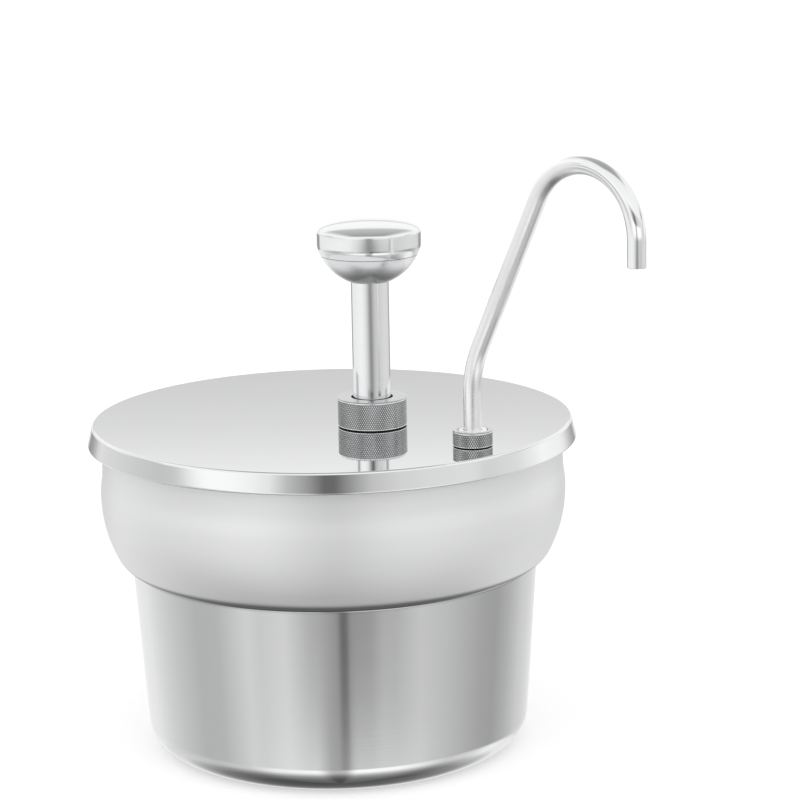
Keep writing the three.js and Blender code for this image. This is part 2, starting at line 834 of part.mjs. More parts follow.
// Hexagon cap over the discharge valve, with a neck that takes the riser and its nut
function dischargeCap() {
  const thread = disc(capThreadRadius, capFoot, blockTop + capJoin, mediumSegments);
  const neck = disc(unionNeckRadius, capHexTop - capJoin, capTop, mediumSegments);
  const body = cut(
    thread.add(hexBar(capHexAcross, blockTop, capHexTop)).add(neck),
    disc(riserBore, capFoot - overrun, capHexTop + overrun, smallSegments),
    disc(riserSocketRadius, riserFoot, capTop + overrun, smallSegments),
  );
  return piece("discharge_cap", body.translate([dischargeSpacing, 0, 0]), satinSteel());
}

// Hexagon nut that draws the riser into a neck. The neck's end is at zero and lies above it.
function unionNut(name) {
  const foot = -fit - unionNutWall;
  const body = cut(
    hexBar(unionNutAcross, foot, unionNutEngagement),
    disc(riserSocketRadius, foot - overrun, overrun, smallSegments),
    disc(unionNeckRadius + fit, -fit, unionNutEngagement + overrun, mediumSegments),
  );
  return piece(name, body, satinSteel());
}

function lowerUnionNut() {
  const nut = unionNut("riser_nut_lower");
  nut.position.set(dischargeSpacing, 0, capTop);
  nut.rotation.x = Math.PI;
  return nut;
}

function upperUnionNut() {
  const nut = unionNut("riser_nut_upper");
  nut.position.z = fittingFoot;
  return nut;
}

// Riser: straight out of the cap, leaning out to the spout and straight into its fitting
function riserTube() {
  const sideways = spoutOffset - pumpOffset - dischargeSpacing;
  const pastNeck = fit + unionNutWall + riserEndLand;
  const lowerRun = unionNeckLength + pastNeck;
  const upperRun = riserInsertion + pastNeck;
  const rise = riserTop - riserFoot - lowerRun - upperRun;
  const radius = (riserBendShare * (sideways ** 2 + rise ** 2)) / (4 * sideways);
  const centresApart = Math.hypot(sideways - 2 * radius, rise);
  const slope = Math.sqrt(centresApart ** 2 - (2 * radius) ** 2);
  const lean = Math.atan2(sideways - 2 * radius, rise) + Math.asin((2 * radius) / centresApart);
  const stations = route(riserFoot, [
    { run: lowerRun },
    { radius, turn: lean },
    { run: slope },
    { radius, turn: -lean },
    { run: upperRun },
  ]);
  const tube = piece("riser_tube", bentTube(stations, riserRadius, riserBore), polishedSteel());
  tube.position.x = dischargeSpacing;
  return tube;
}

// Fitting through the lid: spout from above, riser from below, flange under the lid
function spoutFitting() {
  const outline = [
    [riserSocketRadius, fittingFoot],
    [unionNeckRadius, fittingFoot],
    [unionNeckRadius, flangeFoot],
    [fittingFlangeRadius, flangeFoot],
    [fittingFlangeRadius, flangeTop],
    [fittingNeckRadius, flangeTop],
    [fittingNeckRadius, ferruleFoot],
    [spoutRadius + fit, ferruleFoot],
    [spoutRadius + fit, spoutFoot],
    [spoutBore, spoutFoot],
    [spoutBore, riserTop],
    [riserSocketRadius, riserTop],
  ];
  return piece("spout_fitting", turned(outline, mediumSegments), satinSteel());
}

function fittingWasher() {
  const bore = fittingNeckRadius + fit;
  const body = ring(bore, fittingFlangeRadius, flangeTop, lidUnder, mediumSegments);
  return piece("fitting_washer", body, blackRubber());
}

function spoutGasket() {
  const outerRadius = spoutNutRadius + gasketOverhang;
  const body = ring(fittingNeckRadius + fit, outerRadius, lidTop, nutFoot, mediumSegments);
  return piece("spout_gasket", body, blackRubber());
}

// Knurled nut: it screws onto the fitting's neck and presses the ferrule on the tube
function spoutNut() {
  const holeRadius = ferruleRadius + fit;
  const boreRadius = fittingNeckRadius + fit;
  const outline = rounded([
    [boreRadius, nutTop - spoutNutTopWall],
    [boreRadius, nutFoot],
    [spoutNutRadius, nutFoot, spoutNutFootRounding],
    [spoutNutRadius, nutTop, spoutNutTopRounding],
    [holeRadius, nutTop],
    [holeRadius, nutTop - spoutNutTopWall],
  ]);
  return piece("spout_nut", turned(outline, mediumSegments), knurledSteel());
}

function spoutFerrule() {
  const bore = spoutRadius + fit;
  const outline = [
    [bore, ferruleFoot],
    [fittingNeckRadius, ferruleFoot],
    [fittingNeckRadius, ferruleFoot + ferruleFlange],
    [ferruleRadius, ferruleFoot + ferruleFlange],
    [ferruleRadius, nutTop + ferruleProud],
    [bore, nutTop + ferruleProud],
  ];
  return piece("spout_ferrule", turned(outline, mediumSegments), polishedSteel());
}

// Spout: up out of the lid, leaning away from the pump, over the arch and straight down
function spoutTube() {
  const stations = route(spoutFoot, [
    { run: spoutInsertion + spoutRise },
    { radius: spoutLowerBend, turn: spoutLean },
    { run: spoutStraight },
    { radius: spoutArch, turn: Math.PI - spoutLean },
    { run: spoutDrop },
  ]);
  return piece("spout_tube", bentTube(stations, spoutRadius, spoutBore), polishedSteel());
}

function pumpAssembly() {
  const group = new THREE.Group();
  const [lowerGroove, upperGroove] = sealGrooveFeet();
  const inletPin = inletBallHeight + pinAboveBall;
  group.position.x = pumpOffset;
  group.add(
    pumpGasket(),
    pumpCollar(),
    pumpWasher(),
    pumpCylinder(),
    guideBush(),
    wiperSeal(),
    plungerTube(),
    tubePlug(),
    knobHub(),
    knobScrew(),
    knobBowl(),
    knobCap(),
    piston(),
    pistonSeal("piston_seal_lower", lowerGroove),
    pistonSeal("piston_seal_upper", upperGroove),
    returnSpring(),
    valveBlock(),
    inletSeatRing(),
    piece("inlet_ball", ball(0, inletBallHeight), polishedSteel()),
    stopPin("inlet_stop_pin", 0, inletPin),
    piece("discharge_ball", ball(dischargeSpacing, dischargeBallHeight), polishedSteel()),
    stopPin("discharge_stop_pin", dischargeSpacing, dischargePinHeight),
    passagePlug(),
    dischargeCap(),
    lowerUnionNut(),
    riserTube(),
  );
  return group;
}

function spoutAssembly() {
  const group = new THREE.Group();
  group.position.x = spoutOffset;
  group.add(
    upperUnionNut(),
    spoutFitting(),
    fittingWasher(),
    spoutGasket(),
    spoutNut(),
    spoutFerrule(),
    spoutTube(),
  );
  return group;
}

console.log("least gap between the spring's curls: " + springLeastGap().toFixed(2) + " mm");
console.log("plunger stroke: " + (plungerExposed - knobStopGap).toFixed(2) + " mm");

const dispenser = new THREE.Group();
dispenser.add(potBody(), potShoulder(), lid(), pumpAssembly(), spoutAssembly());

export default dispenser;
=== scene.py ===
"""A lidded steel sauce pot with a push-knob pump and a bent spout, modelled round its CAD frame."""

import math

import bpy
from bpy.props import FloatProperty, FloatVectorProperty, IntProperty, PointerProperty
from mathutils import Matrix, Vector


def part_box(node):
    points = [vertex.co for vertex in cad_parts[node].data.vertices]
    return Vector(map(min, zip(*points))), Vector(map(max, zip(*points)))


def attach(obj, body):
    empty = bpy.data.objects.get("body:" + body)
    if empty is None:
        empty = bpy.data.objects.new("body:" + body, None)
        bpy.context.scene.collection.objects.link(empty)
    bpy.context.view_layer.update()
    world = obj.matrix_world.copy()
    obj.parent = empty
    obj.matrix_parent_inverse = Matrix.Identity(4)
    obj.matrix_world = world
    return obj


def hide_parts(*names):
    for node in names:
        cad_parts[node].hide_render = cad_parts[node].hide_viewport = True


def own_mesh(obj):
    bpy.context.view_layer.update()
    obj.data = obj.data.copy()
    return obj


bl_info = {
    "name": "Sauce Dispenser",
    "version": (1, 0, 0),
    "blender": (4, 5, 0),
    "location": "3D View > Sidebar > Dispenser",
    "description": "Models and finishes a lidded sauce pot with its pump and spout",
    "category": "Object",
}

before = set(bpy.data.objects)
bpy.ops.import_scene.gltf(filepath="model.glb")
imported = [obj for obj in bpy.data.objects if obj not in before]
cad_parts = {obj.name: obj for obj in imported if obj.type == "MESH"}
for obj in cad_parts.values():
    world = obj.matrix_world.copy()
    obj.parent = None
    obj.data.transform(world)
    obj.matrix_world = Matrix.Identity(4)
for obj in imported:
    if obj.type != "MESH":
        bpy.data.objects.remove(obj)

MM = 0.001
SAME_PLACE = 2e-6
TINY = 1e-9
# Edges sharper than this are bevelled
SHARP = math.radians(60)
# The flat land beside a rounding: its length, and its most as a share of the edge that it lies on
LAND = 0.3 * MM
LAND_SHARE = 0.3
# An arc's steps: how far a chord may leave the arc, and the least and most that one step turns
CHORD_ERROR = 0.012 * MM
LEAST_TURN = math.radians(2)
MOST_TURN = math.radians(12)
# A bent tube's steps turn by this many degrees, and its two ends stay straight for this long
TUBE_TURN = 2.5
TUBE_LAND = 0.5 * MM
# The turned chamfer on a hexagon: its width on a flat, and its slope
CHAMFER = 0.6 * MM
CHAMFER_SLOPE = 0.55
# How far a drill starts and ends past what it cuts
PAST = 4 * MM


# Sizes and colours that a user would change

def length(name, description, millimetres):
    """A length property, given in millimetres and kept in metres."""
    value = millimetres * MM
    return FloatProperty(name=name, description=description, default=value, unit="LENGTH", precision=5)


def angle(name, description, degrees):
    """An angle property, given in degrees and kept in radians."""
    value = math.radians(degrees)
    return FloatProperty(name=name, description=description, default=value, subtype="ANGLE")


def shade(name, description, value):
    return FloatVectorProperty(
        name=name, description=description, default=value, subtype="COLOR", min=0, max=1
    )


def share(name, description, value):
    return FloatProperty(name=name, description=description, default=value, subtype="FACTOR", min=0, max=1)


def count(name, description, value):
    return IntProperty(name=name, description=description, default=value, min=3)


class PotSizes(bpy.types.PropertyGroup):
    wall: length("Wall", "Thickness of the sheet", 1)
    neck: length("Neck radius", "Outside of the neck under the lid", 138.9)
    rim: length("Rim radius", "Radius of the rolled rim", 2.45)
    rim_gap: length("Rim gap", "Rim to the lid's underside", 0.3)
    bulge: length("Belly bulge", "How far the belly stands out of the neck", 1.4)
    blend_top: length("Neck blend top", "Depth at which the neck starts to widen", 28.5)
    blend_foot: length("Neck blend foot", "Depth at which the belly is full", 38.5)
    step_depth: length("Step depth", "Depth of the step under the lid's top", 85.5)
    shoulder: length("Shoulder rise", "From the step up to the belly", 24.1)
    step_width: length("Step width", "From the neck in to the body", 16)
    foot_run: length("Step foot run", "Flat part of the step", 6.5)
    foot_rise: length("Step foot rise", "Rise of that flat part", 1.75)
    taper: length("Body taper", "Narrowing of the body to its foot", 7.9)
    neck_rounding: length("Neck rounding", "Radius of the neck's two bends", 40)
    belly_rounding: length("Belly rounding", "Radius of the belly's lower bend", 77)
    step_rounding: length("Step rounding", "Radius from the step up into the shoulder", 12)
    crease: length("Crease rounding", "Radius in the crease under the step", 1.5)
    base_rounding: length("Base rounding", "Radius round the foot", 18)
    around: count("Facets around", "Steps of the spin", 192)


class LidSizes(bpy.types.PropertyGroup):
    top: FloatProperty(
        name="Top", description="Height of the lid's top face", default=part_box("lid")[1].z, unit="LENGTH"
    )
    plate: length("Plate", "Thickness of the plate", 1)
    radius: length("Radius", "Radius at the top edge", 144.17)
    corner: length("Corner rounding", "Radius of the top edge", 1.6)
    skirt: length("Skirt depth", "Depth of the skirt", 12.4)
    flare: length("Skirt flare", "How far the skirt leans out", 2.9)
    hem_width: length("Hem width", "Width of the turned hem", 2)
    hem_rise: length("Hem rise", "Height of the hem's outer edge", 0.5)
    hem_rounding: length("Hem rounding", "Radius of the hem", 0.8)
    around: count("Facets around", "Steps of the spin", 240)


class PumpSizes(bpy.types.PropertyGroup):
    axis: length("Axis", "From the pot's axis to the pump's", 34.9)
    gasket: length("Gasket", "Thickness of the gasket", 1.2)
    lip_width: length("Lip width", "Width of the lip round a nut's foot", 0.6)
    collar_lip: length("Collar lip", "How far the collar's lip comes down over the gasket", 0.5)
    collar: length("Collar radius", "Outside of the knurled collar", 20.6)
    collar_bore: length("Collar bore", "Inside of the collar", 16.3)
    collar_height: length("Collar height", "Height of the collar", 16.3)
    collar_top: length("Collar top", "Thickness of the collar's top", 2.5)
    collar_hole: length("Collar hole", "Radius of the hole in the collar's top", 12.4)
    collar_edge: length("Collar edge", "Rounding of the collar's top edge", 1.1)
    collar_foot: length("Collar foot edge", "Rounding of the collar's foot", 0.25)
    knurl_depth: length("Knurl depth", "Depth of the diamond knurl", 0.22)
    knurl_pitch: length("Knurl pitch", "Half a diamond's width round the collar", 0.667)
    knurl_row: length("Knurl row", "Half a diamond's height", 1.15)
    rod: length("Plunger radius", "Outside of the plunger's tube", 11.2)
    rod_wall: length("Plunger wall", "Wall of the plunger's tube", 1.2)
    exposed: length("Exposed tube", "Collar to knob at rest", 69.35)
    knob: length("Knob radius", "Radius of the knob's band", 30.73)
    knob_wall: length("Knob wall", "Wall of the hollow knob", 0.9)
    knob_land: length("Knob land", "Flat ring at the knob's foot", 0.8)
    side_run: length("Side run", "Outward run of the bowl's low side", 12.6)
    side_rise: length("Side rise", "Rise of the bowl's low side", 5.6)
    side_rounding: length("Side rounding", "Radius of the bowl's side", 33)
    seam: length("Seam", "Height of the weld above the knob's foot", 15.95)
    seam_gap: length("Seam groove", "Width of the groove along the weld", 0.3)
    band_rise: length("Band rise", "Height of the band's foot above the knob's", 20.75)
    band_rounding: length("Band rounding", "Radius where the bowl meets the band", 8)
    band: length("Band height", "Height of the knob's band", 8.4)
    dome: length("Dome rise", "Rise of the knob's top", 7)
    around: count("Facets around", "Steps of the spin", 144)


class SpoutSizes(bpy.types.PropertyGroup):
    axis: length("Axis", "From the pot's axis to the spout's", 116.7)
    gasket: length("Gasket", "Thickness of the gasket", 0.8)
    nut_lip: length("Nut lip", "How far the nut's lip comes down over the gasket", 0.25)
    nut: length("Nut radius", "Outside of the knurled nut", 11.55)
    nut_bore: length("Nut bore", "Inside of the nut", 9.9)
    nut_height: length("Nut height", "Height of the nut", 8.5)
    nut_top: length("Nut top", "Thickness of the nut's top", 1.4)
    nut_edge: length("Nut edge", "Rounding of the nut's top edge", 1)
    nut_foot: length("Nut foot edge", "Rounding of the nut's foot", 0.2)
    ferrule: length("Ferrule radius", "Radius of the ferrule in the nut's top", 8.3)
    ferrule_flange: length("Ferrule flange", "Thickness of its flange", 1.2)
    ferrule_proud: length("Ferrule proud", "How far it stands out of the nut", 0.2)
    fit: length("Fit", "Clearance round a shaft", 0.3)
    tube: length("Tube radius", "Outside of the spout's tube", 5.2)
    wall: length("Tube wall", "Wall of the spout's tube", 1)
    insertion: length("Insertion", "Tube below the lid's top", 10)
    rise: length("Rise", "Straight tube above the lid", 30.16)
    lower_bend: length("Lower bend", "Radius of the lower bend", 62.2)
    lean: angle("Lean", "Lean of the long run", 26.7)
    run: length("Run", "Length of the leaning run", 100)
    arch: length("Arch", "Radius of the arch", 37.3)
    drop: length("Drop", "Straight tube down to the outlet", 14.9)
    sides: count("Sides", "Sides of the tube", 64)


class WorksSizes(bpy.types.PropertyGroup):
    neck: length("Neck radius", "Cylinder's neck through the lid", 16)
    bore: length("Bore", "Radius of the cylinder's bore", 13)
    barrel: length("Barrel radius", "Outside of the cylinder", 14.6)
    flange: length("Flange radius", "Flange under the lid", 21.5)
    flange_height: length("Flange height", "Thickness of that flange", 3)
    washer: length("Washer", "Thickness of the washers", 1.2)
    block: length("Block half width", "Half the valve block's width", 19)
    spacing: length("Valve spacing", "Inlet valve to discharge valve", 36)
    block_edge: length("Block edge", "Chamfer on the valve block's edges", 1)
    cap_hex: length("Cap hexagon", "Discharge cap across its flats", 28)
    cap_hex_height: length("Cap hexagon height", "Height of that hexagon", 6)
    union_neck: length("Union neck", "Radius of the union necks", 9)
    union_length: length("Union neck length", "Length of the union necks", 12)
    nut_hex: length("Union nut", "Union nuts across their flats", 23)
    nut_wall: length("Union nut wall", "End wall of the union nuts", 3)
    riser: length("Riser radius", "Outside of the riser", 6)
    riser_wall: length("Riser wall", "Wall of the riser", 1.2)
    riser_insertion: length("Riser insertion", "Riser inside the spout's fitting", 14)
    riser_land: length("Riser land", "Straight tube past each union nut", 6.5)
    bend_share: share("Bend share", "Riser's bend as a share of the largest that fits", 0.7)
    fitting_neck: length("Fitting neck", "Spout fitting's neck through the lid", 9.6)
    fitting_flange: length("Fitting flange", "Spout fitting's flange", 12)
    fitting_web: length("Fitting web", "Between the spout's socket and the riser's", 4)
    spring_wire: length("Spring wire", "Radius of the return spring's wire", 0.85)
    spring_clearance: length("Spring clearance", "From the spring to the bore", 0.95)
    spring_curls: count("Spring curls", "Turns of the return spring", 12)


class FinishLook(bpy.types.PropertyGroup):
    satin: shade("Satin steel", "Brushed steel of the pot's shoulder", (0.93, 0.933, 0.938))
    satin_roughness: share("Satin roughness", "Roughness of the brushed shoulder", 0.52)
    body: shade("Body steel", "Finer steel of the body below the step", (0.8, 0.803, 0.808))
    body_roughness: share("Body roughness", "Roughness of that finer steel", 0.1)
    mirror: shade("Mirror steel", "Polished steel of the lid", (0.82, 0.823, 0.828))
    mirror_roughness: share("Mirror roughness", "Roughness of the lid", 0.035)
    polished: shade("Polished steel", "Steel of the tubes and the knob", (0.85, 0.853, 0.858))
    polished_roughness: share("Polished roughness", "Roughness of the tubes and the knob", 0.07)
    run: shade("Run steel", "Satin steel of the spout's leaning run", (0.97, 0.97, 0.97))
    run_roughness: share("Run roughness", "Roughness of the spout's leaning run", 0.3)
    bowl_roughness: share("Bowl roughness", "Roughness of the knob's bowl", 0.2)
    knurled: shade("Knurled steel", "Steel of the two knurled nuts", (0.62, 0.625, 0.63))
    knurled_roughness: share("Knurled roughness", "Roughness of the knurled nuts", 0.2)
    rubber: shade("Rubber", "Black rubber of the gaskets and seals", (0.01, 0.01, 0.012))
    plastic: shade("Plastic", "White machined plastic", (0.81, 0.8, 0.76))


class StageLook(bpy.types.PropertyGroup):
    floor: shade("Floor", "Colour of the floor", (0.95, 0.95, 0.95))
    lift: share("Floor lift", "Light that the camera sees the floor add", 0.3)
    lens: FloatProperty(name="Lens", description="Focal length", default=124.83, unit="CAMERA")
    distance: length("Distance", "Camera to the lid's centre", 1672.4)
    side: length("Side shift", "Camera to the right of the lid's centre", 41.19)
    height: length("Height shift", "Camera above the line to the lid's centre", 9.15)
    azimuth: angle("Azimuth", "Camera's direction round the pot", 45)
    elevation: angle("Elevation", "Camera above the horizon", 12.21)
    roll: angle("Roll", "Camera's roll", 1.04)


class DispenserSettings(bpy.types.PropertyGroup):
    pot: PointerProperty(type=PotSizes, name="Pot", description="Sizes of the pot")
    lid: PointerProperty(type=LidSizes, name="Lid", description="Sizes of the lid")
    pump: PointerProperty(type=PumpSizes, name="Pump", description="Sizes of the pump's head")
    spout: PointerProperty(type=SpoutSizes, name="Spout", description="Sizes of the spout")
    works: PointerProperty(type=WorksSizes, name="Works", description="Sizes of what hangs under the lid")
    finish: PointerProperty(type=FinishLook, name="Finish", description="Colours and roughness")
    stage: PointerProperty(type=StageLook, name="Stage", description="Floor, light and camera")


# Outlines, as (radius, height) points

def rounded(corners):
    """The outline through its corners. A corner's third number is its rounding."""
    places = [Vector(corner[:2]) for corner in corners]
    roundings = [corner[2] if len(corner) > 2 else 0.0 for corner in corners]
    last = len(corners) - 1
    turns = [0.0] * len(corners)
    for i in range(1, last):
        before, after = places[i] - places[i - 1], places[i + 1] - places[i]
        turns[i] = math.atan2(before.cross(after), before.dot(after))
    wanted = [size * math.tan(abs(turn) / 2) for size, turn in zip(roundings, turns)]
    edges = [(places[i + 1] - places[i]).length for i in range(last)]
    room = [min(1.0, edge / max(wanted[i] + wanted[i + 1], TINY)) for i, edge in enumerate(edges)]
    fractions = [0.0] + [min(room[i - 1], room[i]) for i in range(1, last)] + [0.0]
    reaches = [fraction * reach for fraction, reach in zip(fractions, wanted)]
    spare = [edge - reaches[i] - reaches[i + 1] for i, edge in enumerate(edges)]
    lands = [min(LAND, LAND_SHARE * free) for free in spare]
    points = []
    for i, place in enumerate(places):
        if reaches[i] < TINY:
            points.append(place)
            continue
        radius = roundings[i] * fractions[i]
        along = (place - places[i - 1]).normalized()
        onward = (places[i + 1] - place).normalized()
        start = place - along * reaches[i]
        centre = start + Vector((-along.y, along.x)) * math.copysign(radius, turns[i])
        arm = start - centre
        steps = arc_steps(radius, abs(turns[i]))
        points.append(start - along * lands[i - 1])
        for k in range(steps + 1):
            c, s = math.cos(turns[i] * k / steps), math.sin(turns[i] * k / steps)
            points.append(centre + Vector((c * arm.x - s * arm.y, s * arm.x + c * arm.y)))
        points.append(place + onward * (reaches[i] + lands[i]))
    return apart(points)


def arc_steps(radius, turn):
    """Steps of an arc: fine enough to look round, and no finer."""
    step = 2 * math.acos(1 - min(0.5, CHORD_ERROR / radius))
    return max(3, math.ceil(turn / min(max(step, LEAST_TURN), MOST_TURN)))


def apart(points):
    """The points without those that lie in one place with the one before."""
    kept = [points[0]]
    for point in points[1:]:
        if (point - kept[-1]).length > 10 * SAME_PLACE:
            kept.append(point)
    return kept


def arc(centre, radius, start, end):
    """Points of an arc between two angles in degrees, from +radius towards +height."""
    steps = arc_steps(radius, math.radians(abs(end - start)))
    angles = [math.radians(start + (end - start) * k / steps) for k in range(steps + 1)]
    return [Vector((centre[0] + radius * math.cos(a), centre[1] + radius * math.sin(a))) for a in angles]


def above(points, height):
    """The part of a rising outline above a height."""
    kept = []
    for before, after in zip(points, points[1:]):
        if before.y < height <= after.y:
            kept.append(before.lerp(after, (height - before.y) / (after.y - before.y)))
        if after.y > height:
            kept.append(after)
    return apart(kept)


def below(points, height):
    """The part of a rising outline below a height."""
    kept = [points[0]]
    for before, after in zip(points, points[1:]):
        if before.y < height <= after.y:
            kept.append(before.lerp(after, (height - before.y) / (after.y - before.y)))
            break
        kept.append(after)
    return apart(kept)


# Modelling steps, each done as by hand

def deselect():
    if bpy.context.object and bpy.context.object.mode != "OBJECT":
        bpy.ops.object.mode_set(mode="OBJECT")
    bpy.ops.object.select_all(action="DESELECT")


def named(name):
    """Names the new object and puts its place in its mesh."""
    piece = bpy.context.object
    piece.name = name
    piece.data.name = name
    bpy.ops.object.transform_apply(location=True, rotation=True, scale=True)
    return piece


def edit_all():
    bpy.ops.object.mode_set(mode="EDIT")
    bpy.ops.mesh.select_mode(type="VERT")
    bpy.ops.mesh.select_all(action="SELECT")


def close_up():
    """Merges what lies in one place and turns the faces outwards."""
    bpy.ops.mesh.select_all(action="SELECT")
    bpy.ops.mesh.remove_doubles(threshold=SAME_PLACE)
    bpy.ops.mesh.normals_make_consistent(inside=False)
    bpy.ops.object.mode_set(mode="OBJECT")


def face_away_from(piece, inside):
    """Turns an open skin round if its face nearest to a point inside it looks at that point."""
    inside = Vector(inside)
    nearest = min(piece.data.polygons, key=lambda face: (face.center - inside).length)
    if nearest.normal.dot(nearest.center - inside) < 0:
        edit_all()
        bpy.ops.mesh.flip_normals()
        bpy.ops.object.mode_set(mode="OBJECT")


def spun(name, outline, axis, around):
    """An outline drawn point by point from one vertex, then spun about an upright axis."""
    deselect()
    start = outline[0]
    bpy.ops.mesh.primitive_plane_add(size=2 * MM, location=(axis + start.x, 0, start.y))
    piece = named(name)
    edit_all()
    bpy.ops.mesh.merge(type="CENTER")
    for before, after in zip(outline, outline[1:]):
        step = (after.x - before.x, 0, after.y - before.y)
        bpy.ops.mesh.extrude_vertices_move(TRANSFORM_OT_translate={"value": step})
    bpy.ops.mesh.select_all(action="SELECT")
    bpy.ops.mesh.spin(steps=around, angle=2 * math.pi, center=(axis, 0, 0), axis=(0, 0, 1))
    close_up()
    return piece


def spun_solid(name, outline, axis, around):
    """A closed outline spun into a solid ring or disc."""
    return spun(name, [*outline, outline[0]], axis, around)


def modify(piece, kind, **settings):
    """Adds one modifier, sets it and applies it."""
    deselect()
    piece.select_set(True)
    bpy.context.view_layer.objects.active = piece
    bpy.ops.object.modifier_add(type=kind)
    modifier = piece.modifiers[-1]
    for key, value in settings.items():
        setattr(modifier, key, value)
    bpy.ops.object.modifier_apply(modifier=modifier.name)


def thicken(piece, wall):
    """Gives a skin its wall, towards its back."""
    modify(piece, "SOLIDIFY", thickness=wall, offset=-1, use_even_offset=True, use_quality_normals=True)


def break_edges(piece, width, segments=2):
    """Bevels the sharp edges, such as a sheet's cut ends."""
    modify(piece, "BEVEL", width=width, segments=segments, limit_method="ANGLE", angle_limit=SHARP)


def smooth(piece, degrees=30):
    deselect()
    piece.select_set(True)
    bpy.context.view_layer.objects.active = piece
    bpy.ops.object.shade_smooth_by_angle(angle=math.radians(degrees))


def remove(piece):
    deselect()
    piece.select_set(True)
    bpy.ops.object.delete()


def cut_round(piece, radius, start, end, direction="Z", sides=96):
    """Cuts a round hole between two points that lie apart along the direction."""
    start, end = Vector(start), Vector(end)
    turn = {"X": (0, math.pi / 2, 0), "Y": (math.pi / 2, 0, 0), "Z": (0, 0, 0)}[direction]
    deselect()
    bpy.ops.mesh.primitive_cylinder_add(
        vertices=sides, radius=radius, depth=(end - start).length, location=(start + end) / 2, rotation=turn
    )
    drill = named("drill")
    modify(piece, "BOOLEAN", object=drill, operation="DIFFERENCE", solver="EXACT")
    remove(drill)


def bore_down(piece, radius, axis, low, high, sides=96):
    """Cuts an upright round hole."""
    cut_round(piece, radius, (axis, 0, low), (axis, 0, high), sides=sides)


def bent_tube(name, foot, moves, radius, wall, sides):
    """A tube in the XZ plane. A move is a straight run, or a bend's radius and turn."""
    deselect()
    bpy.ops.mesh.primitive_circle_add(vertices=sides, radius=radius, location=foot)
    tube = named(name)
    edit_all()
    place, heading = Vector(foot), 0.0
    first, last = moves[0][0] - TUBE_LAND, moves[-1][0] - TUBE_LAND
    for move in [(TUBE_LAND,), (first,), *moves[1:-1], (last,), (TUBE_LAND,)]:
        along = Vector((math.sin(heading), 0, math.cos(heading)))
        if len(move) == 1:
            bpy.ops.mesh.extrude_region_move(TRANSFORM_OT_translate={"value": along * move[0]})
            place = place + along * move[0]
            continue
        bend, turn = move
        across = Vector((math.cos(heading), 0, -math.sin(heading))) * math.copysign(bend, turn)
        centre = place + across
        steps = max(4, math.ceil(abs(math.degrees(turn)) / TUBE_TURN))
        bpy.ops.mesh.spin(steps=steps, angle=-turn, center=centre, axis=(0, 1, 0))
        heading += turn
        outward = Vector((math.cos(heading), 0, -math.sin(heading))) * math.copysign(bend, turn)
        place = centre - outward
    close_up()
    face_away_from(tube, Vector(foot) + Vector((0, 0, TUBE_LAND / 2)))
    thicken(tube, wall)
    break_edges(tube, 0.2 * MM)
    smooth(tube)
    return tube


def knurled(name, axis, radius, corners, rows, steps, depth):
    """A ring whose side carries a diamond knurl: every other point of a fine grid is pushed in."""
    ring = spun_solid(name, rounded(corners), axis, steps)
    edit_all()
    bpy.ops.mesh.select_all(action="DESELECT")
    bpy.ops.object.mode_set(mode="OBJECT")
    heights = [row[1] for row in rows]
    near = 20 * SAME_PLACE
    on_side = set()
    for vertex in ring.data.vertices:
        x, y, z = vertex.co.x - axis, vertex.co.y, vertex.co.z
        level = min(range(len(heights)), key=lambda j: abs(heights[j] - z))
        if abs(math.hypot(x, y) - radius) < near and abs(heights[level] - z) < near:
            turn = round(math.atan2(y, x) / (2 * math.pi) * steps)
            on_side.add(vertex.index)
            vertex.select = (turn + level) % 2 == 1
    bpy.context.tool_settings.mesh_select_mode = (True, False, False)
    bpy.ops.object.mode_set(mode="EDIT")
    shrink = (radius - depth) / radius
    bpy.ops.transform.resize(value=(shrink, shrink, 1), center_override=(axis, 0, 0))
    bpy.ops.object.mode_set(mode="OBJECT")
    for face in ring.data.polygons:
        face.select = on_side.issuperset(face.vertices)
    bpy.ops.object.mode_set(mode="EDIT")
    bpy.ops.mesh.select_mode(type="FACE")
    bpy.ops.mesh.quads_convert_to_tris(quad_method="SHORTEST_DIAGONAL", ngon_method="BEAUTY")
    bpy.ops.object.mode_set(mode="OBJECT")
    smooth(ring, 20)
    return ring


def hexagon(name, axis, across, low, high):
    """A hexagon bar with the turned chamfer of a nut on both ends, ready to be bored."""
    deselect()
    corner, middle = across / math.sqrt(3), (low + high) / 2
    bpy.ops.mesh.primitive_cylinder_add(
        vertices=6, radius=corner, depth=high - low, location=(axis, 0, middle),
        rotation=(0, 0, math.pi / 6),
    )
    bar = named(name)
    face, past = across / 2 - CHAMFER, corner + MM
    rise = CHAMFER_SLOPE * (past - face)
    cone = rounded([
        (0, low - MM),
        (face, low - MM),
        (face, low),
        (past, low + rise),
        (past, high - rise),
        (face, high),
        (face, high + MM),
        (0, high + MM),
    ])
    envelope = spun_solid("envelope", cone, axis, 72)
    modify(bar, "BOOLEAN", object=envelope, operation="INTERSECT", solver="EXACT")
    remove(envelope)
    return bar


def thread(radius, low, high, pitch, depth):
    """Corners of a fine thread up a neck."""
    feet = [low + k * pitch for k in range(math.floor((high - low) / pitch))]
    return [corner for foot in feet for corner in ((radius, foot), (radius - depth, foot + pitch / 2))]


def finish_piece(piece, body, material, slot, *nodes):
    """Gives a piece its material and its body, and hides the CAD nodes that it stands for."""
    piece.data.materials.clear()
    piece.data.materials.append(material)
    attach(piece, body)
    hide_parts(*nodes)


# Shader groups and materials

def new_group(name, inputs, outputs):
    """An empty shader group with float, vector or colour sockets."""
    group = bpy.data.node_groups.new(name, "ShaderNodeTree")
    for label, kind, value in inputs:
        socket = group.interface.new_socket(label, in_out="INPUT", socket_type=kind)
        if value is not None:
            socket.default_value = value
    for label, kind in outputs:
        group.interface.new_socket(label, in_out="OUTPUT", socket_type=kind)
    return group


